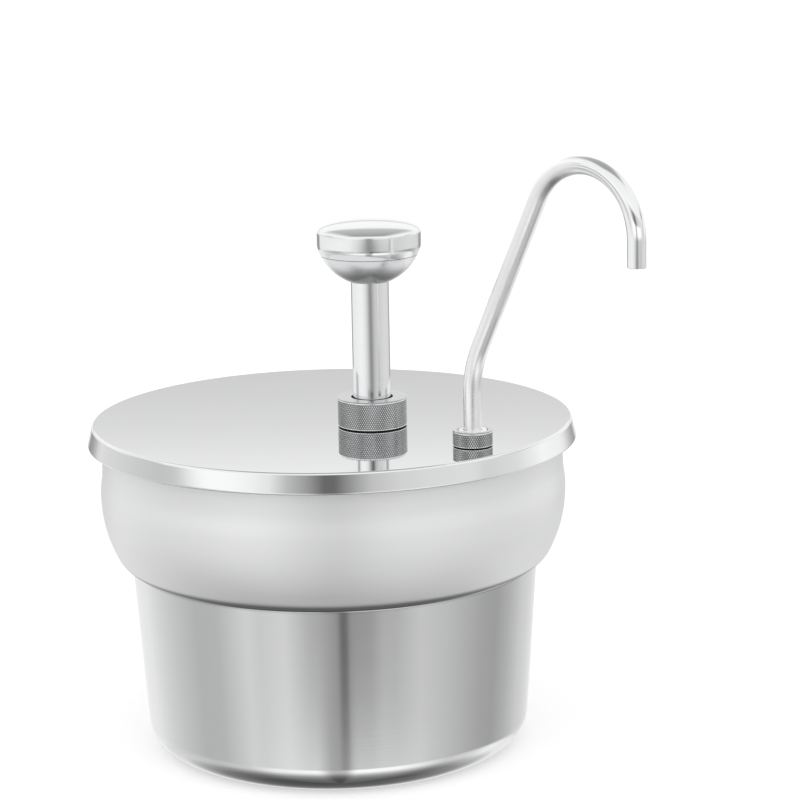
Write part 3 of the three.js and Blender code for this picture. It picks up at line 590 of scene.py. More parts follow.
class Wiring:
    """Adds and links the nodes of one tree in few words."""

    def __init__(self, tree):
        self.tree = tree

    def node(self, kind, **settings):
        made = self.tree.nodes.new(kind)
        for key, value in settings.items():
            setattr(made, key, value)
        return made

    def link(self, source, target):
        self.tree.links.new(source, target)

    def put(self, socket, value):
        if isinstance(value, bpy.types.NodeSocket):
            self.link(value, socket)
        else:
            socket.default_value = value

    def math(self, operation, *values):
        made = self.node("ShaderNodeMath", operation=operation)
        for socket, value in zip(made.inputs, values):
            self.put(socket, value)
        return made.outputs[0]

    def vector(self, operation, *values, output=0):
        made = self.node("ShaderNodeVectorMath", operation=operation)
        for socket, value in zip(made.inputs, values):
            self.put(socket, value)
        return made.outputs[output]

    def noise(self, vector, scale, detail=2.0, roughness=0.5):
        made = self.node("ShaderNodeTexNoise")
        self.put(made.inputs["Vector"], vector)
        self.put(made.inputs["Scale"], scale)
        made.inputs["Detail"].default_value = detail
        made.inputs["Roughness"].default_value = roughness
        return made.outputs["Fac"]

    def steps(self, value, low, high, from_low=0.0, from_high=1.0):
        made = self.node("ShaderNodeMapRange", interpolation_type="SMOOTHSTEP")
        self.put(made.inputs["Value"], value)
        made.inputs["From Min"].default_value = from_low
        made.inputs["From Max"].default_value = from_high
        made.inputs["To Min"].default_value = low
        made.inputs["To Max"].default_value = high
        return made.outputs["Result"]

    def blend(self, factor, first, second):
        made = self.node("ShaderNodeMix", data_type="RGBA")
        self.put(made.inputs[0], factor)
        self.put(made.inputs[6], first)
        self.put(made.inputs[7], second)
        return made.outputs[2]

    def parts(self, vector):
        """A vector's X, Y and Z."""
        made = self.node("ShaderNodeSeparateXYZ")
        self.link(vector, made.inputs[0])
        return made.outputs

    def combined(self, *values):
        made = self.node("ShaderNodeCombineXYZ")
        for socket, value in zip(made.inputs, values):
            self.link(value, socket)
        return made.outputs[0]

    def from_axis(self, x, y):
        """The distance from the upright axis."""
        return self.math("SQRT", self.math("ADD", self.math("MULTIPLY", x, x), self.math("MULTIPLY", y, y)))

    def ramp(self, value, stops):
        """Greys by a value, from a table of places and greys."""
        made = self.node("ShaderNodeValToRGB")
        points = made.color_ramp.elements
        points[0].position, points[1].position = stops[0][0], stops[-1][0]
        for place, _ in stops[1:-1]:
            points.new(place)
        for place, grey in stops:
            nearest = min(points, key=lambda point: abs(point.position - place))
            nearest.color = (grey, grey, grey, 1)
        self.put(made.inputs[0], value)
        return made.outputs[0]


def scaled(colour, factor):
    """A colour made darker or brighter, with its alpha."""
    return (*(factor * part for part in colour), 1)


def turned_grain_group():
    """Fine rings that a lathe or a polishing wheel leaves round an upright axis."""
    group = new_group(
        "turned_grain",
        [
            ("Vector", "NodeSocketVector", None),
            ("Rings", "NodeSocketFloat", 2600.0),
            ("Along", "NodeSocketFloat", 14.0),
        ],
        [("Height", "NodeSocketFloat"), ("Streak", "NodeSocketFloat")],
    )
    cone, slow_along, slow_rings = 1.37, 9.0, 0.12
    w = Wiring(group)
    given = w.node("NodeGroupInput").outputs
    result = w.node("NodeGroupOutput").inputs
    x, y, z = w.parts(given["Vector"])
    across = w.math("ADD", z, w.math("MULTIPLY", w.from_axis(x, y), cone))
    fine = w.combined(
        w.math("MULTIPLY", x, given["Along"]),
        w.math("MULTIPLY", y, given["Along"]),
        w.math("MULTIPLY", across, given["Rings"]),
    )
    w.link(w.noise(fine, 1.0, 3.0, 0.65), result["Height"])
    slow = w.combined(
        w.math("MULTIPLY", x, slow_along),
        w.math("MULTIPLY", y, slow_along),
        w.math("MULTIPLY", across, w.math("MULTIPLY", given["Rings"], slow_rings)),
    )
    w.link(w.noise(slow, 1.0, 2.0), result["Streak"])


def handling_group():
    """Smudges from wiping and a few hair scratches."""
    group = new_group(
        "handling",
        [
            ("Vector", "NodeSocketVector", None),
            ("Smudges", "NodeSocketFloat", 28.0),
            ("Scratches", "NodeSocketFloat", 60.0),
        ],
        [("Smudge", "NodeSocketFloat"), ("Scratch", "NodeSocketFloat")],
    )
    hair_width, patches = 0.006, 55.0
    w = Wiring(group)
    given = w.node("NodeGroupInput").outputs
    result = w.node("NodeGroupOutput").inputs
    cloudy = w.noise(given["Vector"], given["Smudges"], 4.0, 0.6)
    w.link(w.steps(cloudy, 0.0, 1.0, 0.42, 0.68), result["Smudge"])
    drawn_out = w.node("ShaderNodeMapping")
    drawn_out.inputs["Rotation"].default_value = (0.6, 0.4, 0.9)
    drawn_out.inputs["Scale"].default_value = (1.0, 14.0, 14.0)
    w.link(given["Vector"], drawn_out.inputs["Vector"])
    lines = w.noise(drawn_out.outputs[0], given["Scratches"], 1.0, 0.4)
    hair = w.steps(w.math("ABSOLUTE", w.math("SUBTRACT", lines, 0.5)), 1.0, 0.0, 0.0, hair_width)
    patch = w.steps(w.noise(given["Vector"], patches, 1.0), 0.0, 1.0, 0.52, 0.66)
    w.link(w.math("MULTIPLY", hair, patch), result["Scratch"])


def begun(name):
    """A new material: its wiring, its shader's sockets and the piece's own coordinates."""
    material = bpy.data.materials.new(name)
    material.use_nodes = True
    w = Wiring(material.node_tree)
    surface = material.node_tree.nodes["Principled BSDF"]
    return w, surface.inputs, w.node("ShaderNodeTexCoord").outputs["Object"]


def placed_group(w, name, place):
    """A shader group that reads its pattern at a place."""
    made = w.node("ShaderNodeGroup", node_tree=bpy.data.node_groups[name])
    w.link(place, made.inputs["Vector"])
    return made


def add_relief(w, surface, height, distance, strength):
    relief = w.node("ShaderNodeBump")
    relief.inputs["Distance"].default_value = distance
    relief.inputs["Strength"].default_value = strength
    w.link(height, relief.inputs["Height"])
    w.link(relief.outputs[0], surface["Normal"])


def metal(
    name, colour, roughness, axis=0.0, rings=2600.0, grain=0.2, depth=4e-6, smudge=0.05, scratch=0.1,
    lay=0.0, below=None, along_x=None, knurl=None, crease=None,
):
    """Steel with turned grain round an upright axis, smudges and hair scratches.

    lay is how far the brushing stretches reflections. below is a height, and the roughness and the
    colour under it. along_x is a stretch along X, and its roughness and colour. knurl is the radius
    of a knurl's tips and its depth; a highlight is painted on the tips and shade in the valleys.
    crease is the height of an inside corner, and how far the shade painted round it spreads.
    """
    step_fade, run_fade, quarter_turn = 2 * MM, 20 * MM, 0.25
    w, surface, place = begun(name)
    centred = w.node("ShaderNodeMapping")
    centred.inputs["Location"].default_value = (-axis, 0, 0)
    w.link(place, centred.inputs["Vector"])
    centred = centred.outputs[0]
    turned = placed_group(w, "turned_grain", centred)
    turned.inputs["Rings"].default_value = rings
    marks = placed_group(w, "handling", centred).outputs
    streak, height = turned.outputs["Streak"], turned.outputs["Height"]
    tone = w.blend(w.math("MULTIPLY", streak, grain), scaled(colour, 1), scaled(colour, 0.9))
    # Painted highlights on a knurl's tips and painted shade in its valleys
    if knurl:
        tone = knurl_highlight_and_shade(w, tone, colour, centred, marks["Smudge"], *knurl)
    if below:
        step, other_roughness, other_colour = below
        other = w.steps(w.parts(place)["Z"], 1.0, 0.0, step - step_fade, step + step_fade)
    if along_x:
        start, end, other_roughness, other_colour = along_x
        off = w.math("ABSOLUTE", w.math("SUBTRACT", w.parts(place)["X"], (start + end) / 2))
        half = (end - start) / 2
        other = w.steps(off, 1.0, 0.0, half - run_fade, half)
    if below or along_x:
        tone = w.blend(other, tone, (*other_colour, 1))
        roughness = w.steps(other, roughness, other_roughness)
    # Painted shade round an inside corner
    if crease:
        tone = painted_crease_shade(w, tone, colour, w.parts(place)["Z"], *crease)
    w.link(tone, surface["Base Color"])
    uneven = w.math("MULTIPLY", marks["Smudge"], smudge)
    uneven = w.math("ADD", uneven, w.math("MULTIPLY", w.math("SUBTRACT", height, 0.5), grain))
    rough = w.math("MULTIPLY", roughness, w.math("ADD", uneven, 1.0))
    w.link(w.math("ADD", rough, w.math("MULTIPLY", marks["Scratch"], scratch)), surface["Roughness"])
    surface["Metallic"].default_value = 1.0
    if lay:
        surface["Anisotropic"].default_value = lay
        surface["Anisotropic Rotation"].default_value = quarter_turn
        tangent = w.node("ShaderNodeTangent", direction_type="RADIAL", axis="Z")
        w.link(tangent.outputs[0], surface["Tangent"])
    if depth:
        scratched = w.math("SUBTRACT", height, w.math("MULTIPLY", marks["Scratch"], 0.4))
        add_relief(w, surface, scratched, depth, 1.0)


def knurl_highlight_and_shade(w, tone, colour, place, smudge, tip, depth):
    """A highlight painted on a knurl's tips and shade painted in its valleys, by the distance from its
    axis.
    """
    bright, dark = 1.5, 0.2
    x, y, _ = w.parts(place)
    radius = w.from_axis(x, y)
    valleys = w.steps(radius, 1.0, 0.0, tip - 0.8 * depth, tip - 0.35 * depth)
    outside = w.steps(radius, 0.0, 1.0, tip - 1.5 * depth, tip - 1.2 * depth)
    # Painted shade in the valleys, varied a little by the smudge pattern
    valley_shade = w.math("ADD", 0.85, w.math("MULTIPLY", smudge, 0.15))
    valley_shade = w.math("MULTIPLY", w.math("MULTIPLY", valleys, outside), valley_shade)
    # A highlight painted on the tips
    tips = w.steps(radius, 0.0, 1.0, tip - 0.4 * depth, tip - 0.1 * depth)
    return w.blend(valley_shade, w.blend(tips, tone, scaled(colour, bright)), scaled(colour, dark))


def painted_crease_shade(w, tone, colour, height, crease, spread):
    """Painted shade round the height of an inside corner."""
    dark, strength, core = 0.12, 0.75, 0.2
    off = w.math("ABSOLUTE", w.math("SUBTRACT", height, crease))
    return w.blend(w.steps(off, strength, 0.0, core * spread, spread), tone, scaled(colour, dark))


def rubber_material(colour):
    """Black moulded rubber: matt, a little cloudy and finely grained."""
    w, surface, place = begun("moulded_rubber")
    cloud = w.noise(place, 240.0, 3.0)
    dusty = tuple(min(1.0, part * 2.4 + 0.004) for part in colour)
    w.link(w.blend(w.steps(cloud, 0.0, 0.8, 0.45, 0.75), (*colour, 1), (*dusty, 1)), surface["Base Color"])
    w.link(w.steps(cloud, 0.55, 0.72), surface["Roughness"])
    surface["Specular IOR Level"].default_value = 0.3
    add_relief(w, surface, w.noise(place, 2600.0, 2.0), 2e-5, 0.5)


def plastic_material(colour):
    """White machined plastic with faint cutter rings and wiped marks."""
    w, surface, place = begun("machined_plastic")
    turned = placed_group(w, "turned_grain", place)
    turned.inputs["Rings"].default_value = 1500.0
    turned.inputs["Along"].default_value = 5.0
    marks = placed_group(w, "handling", place).outputs
    aged = (colour[0] * 0.93, colour[1] * 0.91, colour[2] * 0.84)
    yellowed = w.math("MULTIPLY", marks["Smudge"], 0.6)
    w.link(w.blend(yellowed, (*colour, 1), (*aged, 1)), surface["Base Color"])
    w.link(w.math("ADD", 0.42, w.math("MULTIPLY", turned.outputs["Streak"], 0.16)), surface["Roughness"])
    add_relief(w, surface, turned.outputs["Height"], 1.5e-5, 0.6)


def materials():
    return bpy.data.materials


def knob_foot(settings):
    """The height of the knob's foot at rest."""
    pump = settings.pump
    return settings.lid.top + pump.gasket + pump.collar_height + pump.exposed


# Operators, one for each piece or group of like pieces

class PieceOperator:
    """What the operators share: each one makes its pieces from the scene's settings."""

    bl_options = {"REGISTER", "UNDO"}

    def execute(self, context):
        self.make(context.scene.dispenser)
        deselect()
        return {"FINISHED"}


class DISPENSER_OT_finishes(PieceOperator, bpy.types.Operator):
    """Makes the steels, the rubber and the plastic, and puts them on every CAD node"""

    bl_idname = "dispenser.finishes"
    bl_label = "Finishes"

    worn_by = {
        "machined_plastic": ["guide_bush", "piston", "valve_block"],
        "moulded_rubber": [
            "piston_seal_lower", "piston_seal_upper", "wiper_seal", "pump_washer", "fitting_washer",
            "pump_gasket", "spout_gasket",
        ],
        "wire_steel": ["return_spring"],
        "pump_steel": ["plunger_tube", "knob_bowl", "knob_cap", "inlet_ball", "discharge_ball"],
        "spout_steel": ["spout_tube", "spout_ferrule", "riser_tube"],
        "fitting_steel": ["spout_fitting", "riser_nut_upper"],
        "collar_steel": ["pump_collar"],
        "nut_steel": ["spout_nut"],
        "pot_steel": ["pot_body", "pot_shoulder"],
        "lid_steel": ["lid"],
    }

    def make(self, settings):
        turned_grain_group()
        handling_group()
        self.pot_and_lid(settings)
        self.head(settings)
        self.works(settings)
        rubber_material(tuple(settings.finish.rubber))
        plastic_material(tuple(settings.finish.plastic))
        finish_of = {node: name for name, nodes in self.worn_by.items() for node in nodes}
        for name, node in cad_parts.items():
            node.data.materials.clear()
            node.data.materials.append(materials()[finish_of.get(name, "turned_steel")])

    def pot_and_lid(self, settings):
        look = settings.finish
        step = settings.lid.top - settings.pot.step_depth
        # The pot gets shade painted into the crease under the step and up the lower belly
        metal(
            "pot_steel", tuple(look.satin), look.satin_roughness, rings=1700.0, grain=0.3, depth=3e-6,
            lay=0.5, below=(step, look.body_roughness, tuple(look.body)),
            crease=(step + 1.6 * MM, 4.2 * MM),
        )
        metal(
            "lid_steel", tuple(look.mirror), look.mirror_roughness, rings=500.0, grain=0.1, depth=0,
            smudge=0.5, scratch=0.04,
        )

    def head(self, settings):
        look, pump, spout = settings.finish, settings.pump, settings.spout
        bright, knurled_steel = tuple(look.polished), tuple(look.knurled)
        metal(
            "pump_steel", bright, look.polished_roughness, pump.axis, grain=0.35, depth=3e-7,
            smudge=0.6, scratch=0.06,
        )
        # The bowl gets shade painted into its colour, darker towards the knob's foot
        metal(
            "bowl_steel", bright, look.bowl_roughness, pump.axis, grain=0.3, depth=3e-7,
            smudge=0.4, scratch=0.05, crease=(knob_foot(settings), 13 * MM),
        )
        run_start, run_end = spout.axis - 10 * MM, spout.axis + 92 * MM
        metal(
            "spout_steel", bright, look.polished_roughness, spout.axis, rings=900.0, grain=0.3, depth=0,
            smudge=0.6, scratch=0.06, along_x=(run_start, run_end, look.run_roughness, tuple(look.run)),
        )
        # The knurled nuts get painted highlights on their tips and painted shade in their valleys
        for name, axis, radius in (
            ("collar_steel", pump.axis, pump.collar),
            ("nut_steel", spout.axis, spout.nut),
        ):
            metal(
                name, knurled_steel, look.knurled_roughness, axis, grain=0.3, depth=2e-6,
                knurl=(radius, pump.knurl_depth),
            )

    def works(self, settings):
        body, pump, spout = tuple(settings.finish.body), settings.pump.axis, settings.spout.axis
        metal("turned_steel", body, 0.3, pump, grain=0.5, depth=6e-6)
        metal("fitting_steel", body, 0.28, spout, grain=0.5, depth=6e-6)
        metal("wire_steel", body, 0.34, pump, rings=300.0, grain=0.5, depth=3e-6)


class DISPENSER_OT_pot(PieceOperator, bpy.types.Operator):
    """Models the pot: one sheet from its foot over the step to the rolled rim"""

    bl_idname = "dispenser.pot"
    bl_label = "Pot"

    def make(self, settings):
        pot, top = settings.pot, settings.lid.top
        body = pot.neck - pot.step_width
        step = top - pot.step_depth
        belly = pot.neck + pot.bulge
        rim_centre = pot.neck - pot.wall + pot.rim
        rim_height = top - settings.lid.plate - pot.rim_gap - pot.rim
        outer = rounded([
            (0, 0),
            (body - pot.taper, 0, pot.base_rounding),
            (body, step, pot.crease),
            (body + pot.foot_run, step + pot.foot_rise, pot.step_rounding),
            (belly, step + pot.shoulder, pot.belly_rounding),
            (belly, top - pot.blend_foot, pot.neck_rounding),
            (pot.neck, top - pot.blend_top, pot.neck_rounding),
            (pot.neck, rim_height),
        ])
        curl_start, curl_end = 180, -112
        curl = arc((rim_centre, rim_height), pot.rim - pot.wall, curl_start, curl_end)
        piece = spun("pot_shell", apart([*outer, *curl]), 0, pot.around)
        inside = (0, 0, top - 60 * MM)
        face_away_from(piece, inside)
        thicken(piece, pot.wall)
        break_edges(piece, 0.25 * MM)
        smooth(piece)
        finish_piece(piece, "pot", materials()["pot_steel"], "satin_steel", "pot_body", "pot_shoulder")


class DISPENSER_OT_lid(PieceOperator, bpy.types.Operator):
    """Models the lid: a flat plate with a flared skirt, a turned hem and its two holes"""

    bl_idname = "dispenser.lid"
    bl_label = "Lid"

    def make(self, settings):
        lid, works = settings.lid, settings.works
        skirt, foot = lid.radius + lid.flare, lid.top - lid.skirt
        outer = rounded([
            (0, lid.top),
            (lid.radius, lid.top, lid.corner),
            (skirt, foot + lid.hem_rise, lid.hem_rounding),
            (skirt - lid.hem_width, foot),
        ])
        piece = spun("lid_plate", outer, 0, lid.around)
        face_away_from(piece, (0, 0, lid.top - 5 * MM))
        thicken(piece, lid.plate)
        break_edges(piece, 0.2 * MM)
        play, past = 0.5 * MM, 6 * MM
        for axis, neck in ((settings.pump.axis, works.neck), (settings.spout.axis, works.fitting_neck)):
            bore_down(piece, neck + play, axis, lid.top - past, lid.top + past)
        smooth(piece)
        finish_piece(piece, "lid", materials()["lid_steel"], "mirror_steel", "lid")


class DISPENSER_OT_gaskets(PieceOperator, bpy.types.Operator):
    """Models the gaskets and washers above and below the lid"""

    bl_idname = "dispenser.gaskets"
    bl_label = "Gaskets and washers"

    def make(self, settings):
        top, under = settings.lid.top, settings.lid.top - settings.lid.plate
        pump, spout, works = settings.pump, settings.spout, settings.works
        neck, fitting = works.neck + spout.fit, works.fitting_neck + spout.fit
        set_in = 0.75 * MM
        collar, nut = pump.collar - set_in, spout.nut - set_in
        low = under - works.washer
        rings = [
            ("pump_seal_ring", pump.axis, neck, collar, top, top + pump.gasket, "pump_gasket"),
            ("spout_seal_ring", spout.axis, fitting, nut, top, top + spout.gasket, "spout_gasket"),
            ("pump_lower_ring", pump.axis, neck, works.flange, low, under, "pump_washer"),
            ("spout_lower_ring", spout.axis, fitting, works.fitting_flange, low, under, "fitting_washer"),
        ]
        for name, axis, inner, outer, foot, head, node in rings:
            edge, middle = 0.3 * (head - foot), (foot + head) / 2
            outline = rounded([
                (inner, middle),
                (inner, foot, edge),
                (outer, foot, edge),
                (outer, head, edge),
                (inner, head, edge),
                (inner, middle + edge),
            ])
            piece = spun_solid(name, outline, axis, 144)
            smooth(piece)
            finish_piece(piece, "lid", materials()["moulded_rubber"], "black_rubber", node)


def knurl_rows(radius, low, high, row):
    """Points up a knurled side, evenly spaced and about a row apart."""
    number = max(2, round((high - low) / row))
    return [(radius, low + (high - low) * k / number) for k in range(number + 1)]


def knurl_steps(radius, pitch):
    """An even number of steps round a knurl, so that its diamonds close."""
    return 2 * round(math.pi * radius / pitch)


class DISPENSER_OT_collar(PieceOperator, bpy.types.Operator):
    """Models the pump's knurled collar and the wiper ring in its top"""

    bl_idname = "dispenser.collar"
    bl_label = "Collar"

    def make(self, settings):
        pump, top = settings.pump, settings.lid.top
        foot = top + pump.gasket
        head = foot + pump.collar_height
        under = head - pump.collar_top
        first, last = foot - 0.05 * MM, head - pump.collar_edge - 0.2 * MM
        rows = knurl_rows(pump.collar, first, last, pump.knurl_row)
        lip = pump.collar - pump.lip_width
        corners = [
            (pump.collar_bore, under),
            (pump.collar_bore, foot, 0.3 * MM),
            (lip, foot),
            (lip, foot - pump.collar_lip, 0.1 * MM),
            (pump.collar, foot - pump.collar_lip, pump.collar_foot),
            *rows,
            (pump.collar, head, pump.collar_edge),
            (pump.collar_hole, head, 0.25 * MM),
            (pump.collar_hole, under),
        ]
        steps = knurl_steps(pump.collar, pump.knurl_pitch)
        collar = knurled("collar_nut", pump.axis, pump.collar, corners, rows, steps, pump.knurl_depth)
        finish_piece(collar, "pump_collar", materials()["collar_steel"], "knurled_steel", "pump_collar")
        self.wiper(pump)

    def wiper(self, pump):
        low, high = (corner.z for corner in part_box("wiper_seal"))
        bore, outside = pump.rod + 0.3 * MM, pump.collar_bore - 0.6 * MM
        outline = rounded([
            (bore + 1.2 * MM, low),
            (outside, low, 0.3 * MM),
            (outside, high, 0.3 * MM),
            (bore + 0.9 * MM, high, 0.2 * MM),
            (bore + 0.5 * MM, high - 0.8 * MM, 0.3 * MM),
            (bore, high - 0.1 * MM, 0.1 * MM),
            (bore, low + 0.6 * MM, 0.2 * MM),
        ])
        wiper = spun_solid("wiper_ring", outline, pump.axis, pump.around)
        smooth(wiper)
        finish_piece(wiper, "lid", materials()["moulded_rubber"], "black_rubber", "wiper_seal")


class DISPENSER_OT_plunger(PieceOperator, bpy.types.Operator):
    """Models the plunger's polished tube"""

    bl_idname = "dispenser.plunger"
    bl_label = "Plunger"

    def make(self, settings):
        pump = settings.pump
        low, high = (corner.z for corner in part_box("plunger_tube"))
        inner, middle = pump.rod - pump.rod_wall, (low + high) / 2
        edge = 0.25 * MM
        outline = rounded([
            (inner, middle),
            (inner, low, edge),
            (pump.rod, low, edge),
            (pump.rod, high, edge),
            (inner, high, edge),
            (inner, middle + MM),
        ])
        piece = spun_solid("plunger_rod", outline, pump.axis, pump.around)
        smooth(piece)
        finish_piece(piece, "plunger", materials()["pump_steel"], "polished_steel", "plunger_tube")


class DISPENSER_OT_knob(PieceOperator, bpy.types.Operator):
    """Models the hollow knob: its bowl and its cap, with the weld's groove between them"""

    bl_idname = "dispenser.knob"
    bl_label = "Knob"

    def make(self, settings):
        pump = settings.pump
        foot = knob_foot(settings)
        band, seam = foot + pump.band_rise, foot + pump.seam
        bore = pump.rod + 0.3 * MM
        low = bore + pump.knob_land
        face = rounded([
            (bore, foot),
            (low, foot, 0.5 * MM),
            (low + pump.side_run, foot + pump.side_rise, pump.side_rounding),
            (pump.knob, band, pump.band_rounding),
            (pump.knob, band + pump.band),
        ])
        bowl_face = below(face, seam - pump.seam_gap / 2)
        cap_face = above(face, seam + pump.seam_gap / 2)
        bowl_edge, cap_edge = bowl_face[-1], cap_face[0]
        lip, slant, reach = 0.3 * MM, 0.3, 2.2
        upward = [bowl_edge + Vector((-lip * far, lip * slant)) for far in (1, reach)]
        downward = [cap_edge + Vector((-lip * far, -lip * slant)) for far in (reach, 1)]
        bowl = spun("knob_bowl_shell", [*bowl_face, *upward], pump.axis, pump.around)
        dome = self.dome(pump, band + pump.band)
        cap = spun("knob_cap_shell", apart([*downward, *cap_face, *dome]), pump.axis, pump.around)
        for piece, node, steel in ((bowl, "knob_bowl", "bowl_steel"), (cap, "knob_cap", "pump_steel")):
            face_away_from(piece, (pump.axis, 0, seam))
            thicken(piece, pump.knob_wall)
            smooth(piece, 35)
            finish_piece(piece, "plunger", materials()[steel], "polished_steel", node)

    def dome(self, pump, foot):
        """The knob's top as a quarter of an ellipse, with its points closest at the edge."""
        steps, crowding = 40, 1.3
        angles = [math.radians(90 * (k / steps) ** crowding) for k in range(1, steps + 1)]
        points = [Vector((pump.knob * math.cos(a), foot + pump.dome * math.sin(a))) for a in angles]
        points[-1].x = 0
        return points


class DISPENSER_OT_spout_nut(PieceOperator, bpy.types.Operator):
    """Models the spout's knurled nut and the ferrule ring in its top"""

    bl_idname = "dispenser.spout_nut"
    bl_label = "Spout nut"

    def make(self, settings):
        pump, spout, top = settings.pump, settings.spout, settings.lid.top
        foot = top + spout.gasket
        head = foot + spout.nut_height
        under = head - spout.nut_top
        hole = spout.ferrule + spout.fit
        first, last = foot + 0.1 * MM, head - spout.nut_edge - 0.15 * MM
        rows = knurl_rows(spout.nut, first, last, pump.knurl_row)
        lip = spout.nut - pump.lip_width
        corners = [
            (spout.nut_bore, under),
            (spout.nut_bore, foot, 0.3 * MM),
            (lip, foot),
            (lip, foot - spout.nut_lip, 0.1 * MM),
            (spout.nut, foot - spout.nut_lip, spout.nut_foot),
            *rows,
            (spout.nut, head, spout.nut_edge),
            (hole, head, 0.2 * MM),
            (hole, under),
        ]
        steps = knurl_steps(spout.nut, pump.knurl_pitch)
        nut = knurled("spout_knurled_nut", spout.axis, spout.nut, corners, rows, steps, pump.knurl_depth)
        finish_piece(nut, "spout_nut", materials()["nut_steel"], "knurled_steel", "spout_nut")
        self.ferrule(spout, settings.works.fitting_neck, head + spout.ferrule_proud, pump.around)

    def ferrule(self, spout, neck, proud, around):
        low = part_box("spout_ferrule")[0].z
        bore, flange, edge = spout.tube + spout.fit, low + spout.ferrule_flange, 0.2 * MM
        outline = rounded([
            (bore, low + 0.4 * MM),
            (bore, low, edge),
            (neck, low, edge),
            (neck, flange, edge),
            (spout.ferrule, flange),
            (spout.ferrule, proud, 0.7 * MM),
            (bore, proud, 0.3 * MM),
            (bore, low + MM),
        ])
        ferrule = spun_solid("ferrule_ring", outline, spout.axis, around)
        smooth(ferrule)
        finish_piece(ferrule, "spout", materials()["spout_steel"], "polished_steel", "spout_ferrule")


class DISPENSER_OT_spout(PieceOperator, bpy.types.Operator):
    """Models the spout's tube: up, leaning away from the pump, over its arch and down"""

    bl_idname = "dispenser.spout"
    bl_label = "Spout"

    def make(self, settings):
        spout = settings.spout
        moves = [
            (spout.insertion + spout.rise,),
            (spout.lower_bend, spout.lean),
            (spout.run,),
            (spout.arch, math.pi - spout.lean),
            (spout.drop,),
        ]
        foot = (spout.axis, 0, settings.lid.top - spout.insertion)
        tube = bent_tube("spout_pipe", foot, moves, spout.tube, spout.wall, spout.sides)
        finish_piece(tube, "spout", materials()["spout_steel"], "polished_steel", "spout_tube")


class DISPENSER_OT_cylinder(PieceOperator, bpy.types.Operator):
    """Models the pump's cylinder with its neck, flange and barrel"""

    bl_idname = "dispenser.cylinder"
    bl_label = "Cylinder"

    def make(self, settings):
        works, pump = settings.works, settings.pump
        low, high = (corner.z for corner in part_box("pump_cylinder"))
        flange = settings.lid.top - settings.lid.plate - works.washer
        flange_foot = flange - works.flange_height
        edge, middle = 0.4 * MM, (low + high) / 2
        threads = thread(works.neck, settings.lid.top + 1.2 * MM, high - 0.8 * MM, 1.5 * MM, 0.5 * MM)
        outline = rounded([
            (works.bore, middle),
            (works.bore, low, edge),
            (works.barrel, low, edge),
            (works.barrel, flange_foot, 1.2 * MM),
            (works.flange, flange_foot, edge),
            (works.flange, flange, edge),
            (works.neck, flange),
            *threads,
            (works.neck, high, edge),
            (works.bore, high, edge),
            (works.bore, middle + MM),
        ])
        piece = spun_solid("cylinder_barrel", outline, pump.axis, pump.around)
        smooth(piece)
        finish_piece(piece, "lid", materials()["turned_steel"], "satin_steel", "pump_cylinder")


class DISPENSER_OT_valve_block(PieceOperator, bpy.types.Operator):
    """Models the valve block at the pump's foot, with its sockets and pin holes"""

    bl_idname = "dispenser.valve_block"
    bl_label = "Valve block"

    def make(self, settings):
        works, inlet = settings.works, settings.pump.axis
        discharge = inlet + works.spacing
        low, high = (corner.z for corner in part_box("valve_block"))
        size = {"vertices": 96, "radius": works.block, "depth": high - low}
        middle = (low + high) / 2
        deselect()
        bpy.ops.mesh.primitive_cylinder_add(**size, location=(inlet, 0, middle))
        block = named("valve_housing")
        bpy.ops.object.mode_set(mode="EDIT")
        bpy.ops.mesh.primitive_cylinder_add(**size, location=(discharge, 0, middle))
        bpy.ops.mesh.select_all(action="SELECT")
        bpy.ops.mesh.convex_hull()
        bpy.ops.mesh.select_all(action="SELECT")
        bpy.ops.mesh.dissolve_limited(angle_limit=math.radians(0.5))
        close_up()
        break_edges(block, works.block_edge, 3)
        self.passages(block, works, settings.spout.fit, inlet, discharge, low, high)
        smooth(block)
        finish_piece(block, "lid", materials()["machined_plastic"], "white_plastic", "valve_block")

    def passages(self, block, works, fit, inlet, discharge, low, high):
        """Bores the sockets of what screws into the block, and the holes of its two pins."""
        ball_room, seat, plug, pin = 9.5 * MM, 12 * MM, 6 * MM, 1.2 * MM
        barrel_foot, cap_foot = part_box("pump_cylinder")[0].z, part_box("discharge_cap")[0].z
        seat_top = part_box("inlet_seat")[1].z
        bore_down(block, works.barrel + fit, inlet, barrel_foot, high + PAST)
        bore_down(block, ball_room, inlet, seat_top - MM, barrel_foot + MM)
        bore_down(block, seat + fit, inlet, low - PAST, seat_top)
        bore_down(block, seat + fit, discharge, cap_foot, high + PAST)
        plug_low, plug_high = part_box("passage_plug")
        level, outside = (plug_low.z + plug_high.z) / 2, discharge + works.block + PAST
        cut_round(block, plug + fit, (plug_low.x, 0, level), (outside, 0, level), "X")
        side = works.block + PAST
        for node in ("inlet_stop_pin", "discharge_stop_pin"):
            centre = (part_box(node)[0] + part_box(node)[1]) / 2
            cut_round(block, pin + fit, (centre.x, -side, centre.z), (centre.x, side, centre.z), "Y", 32)


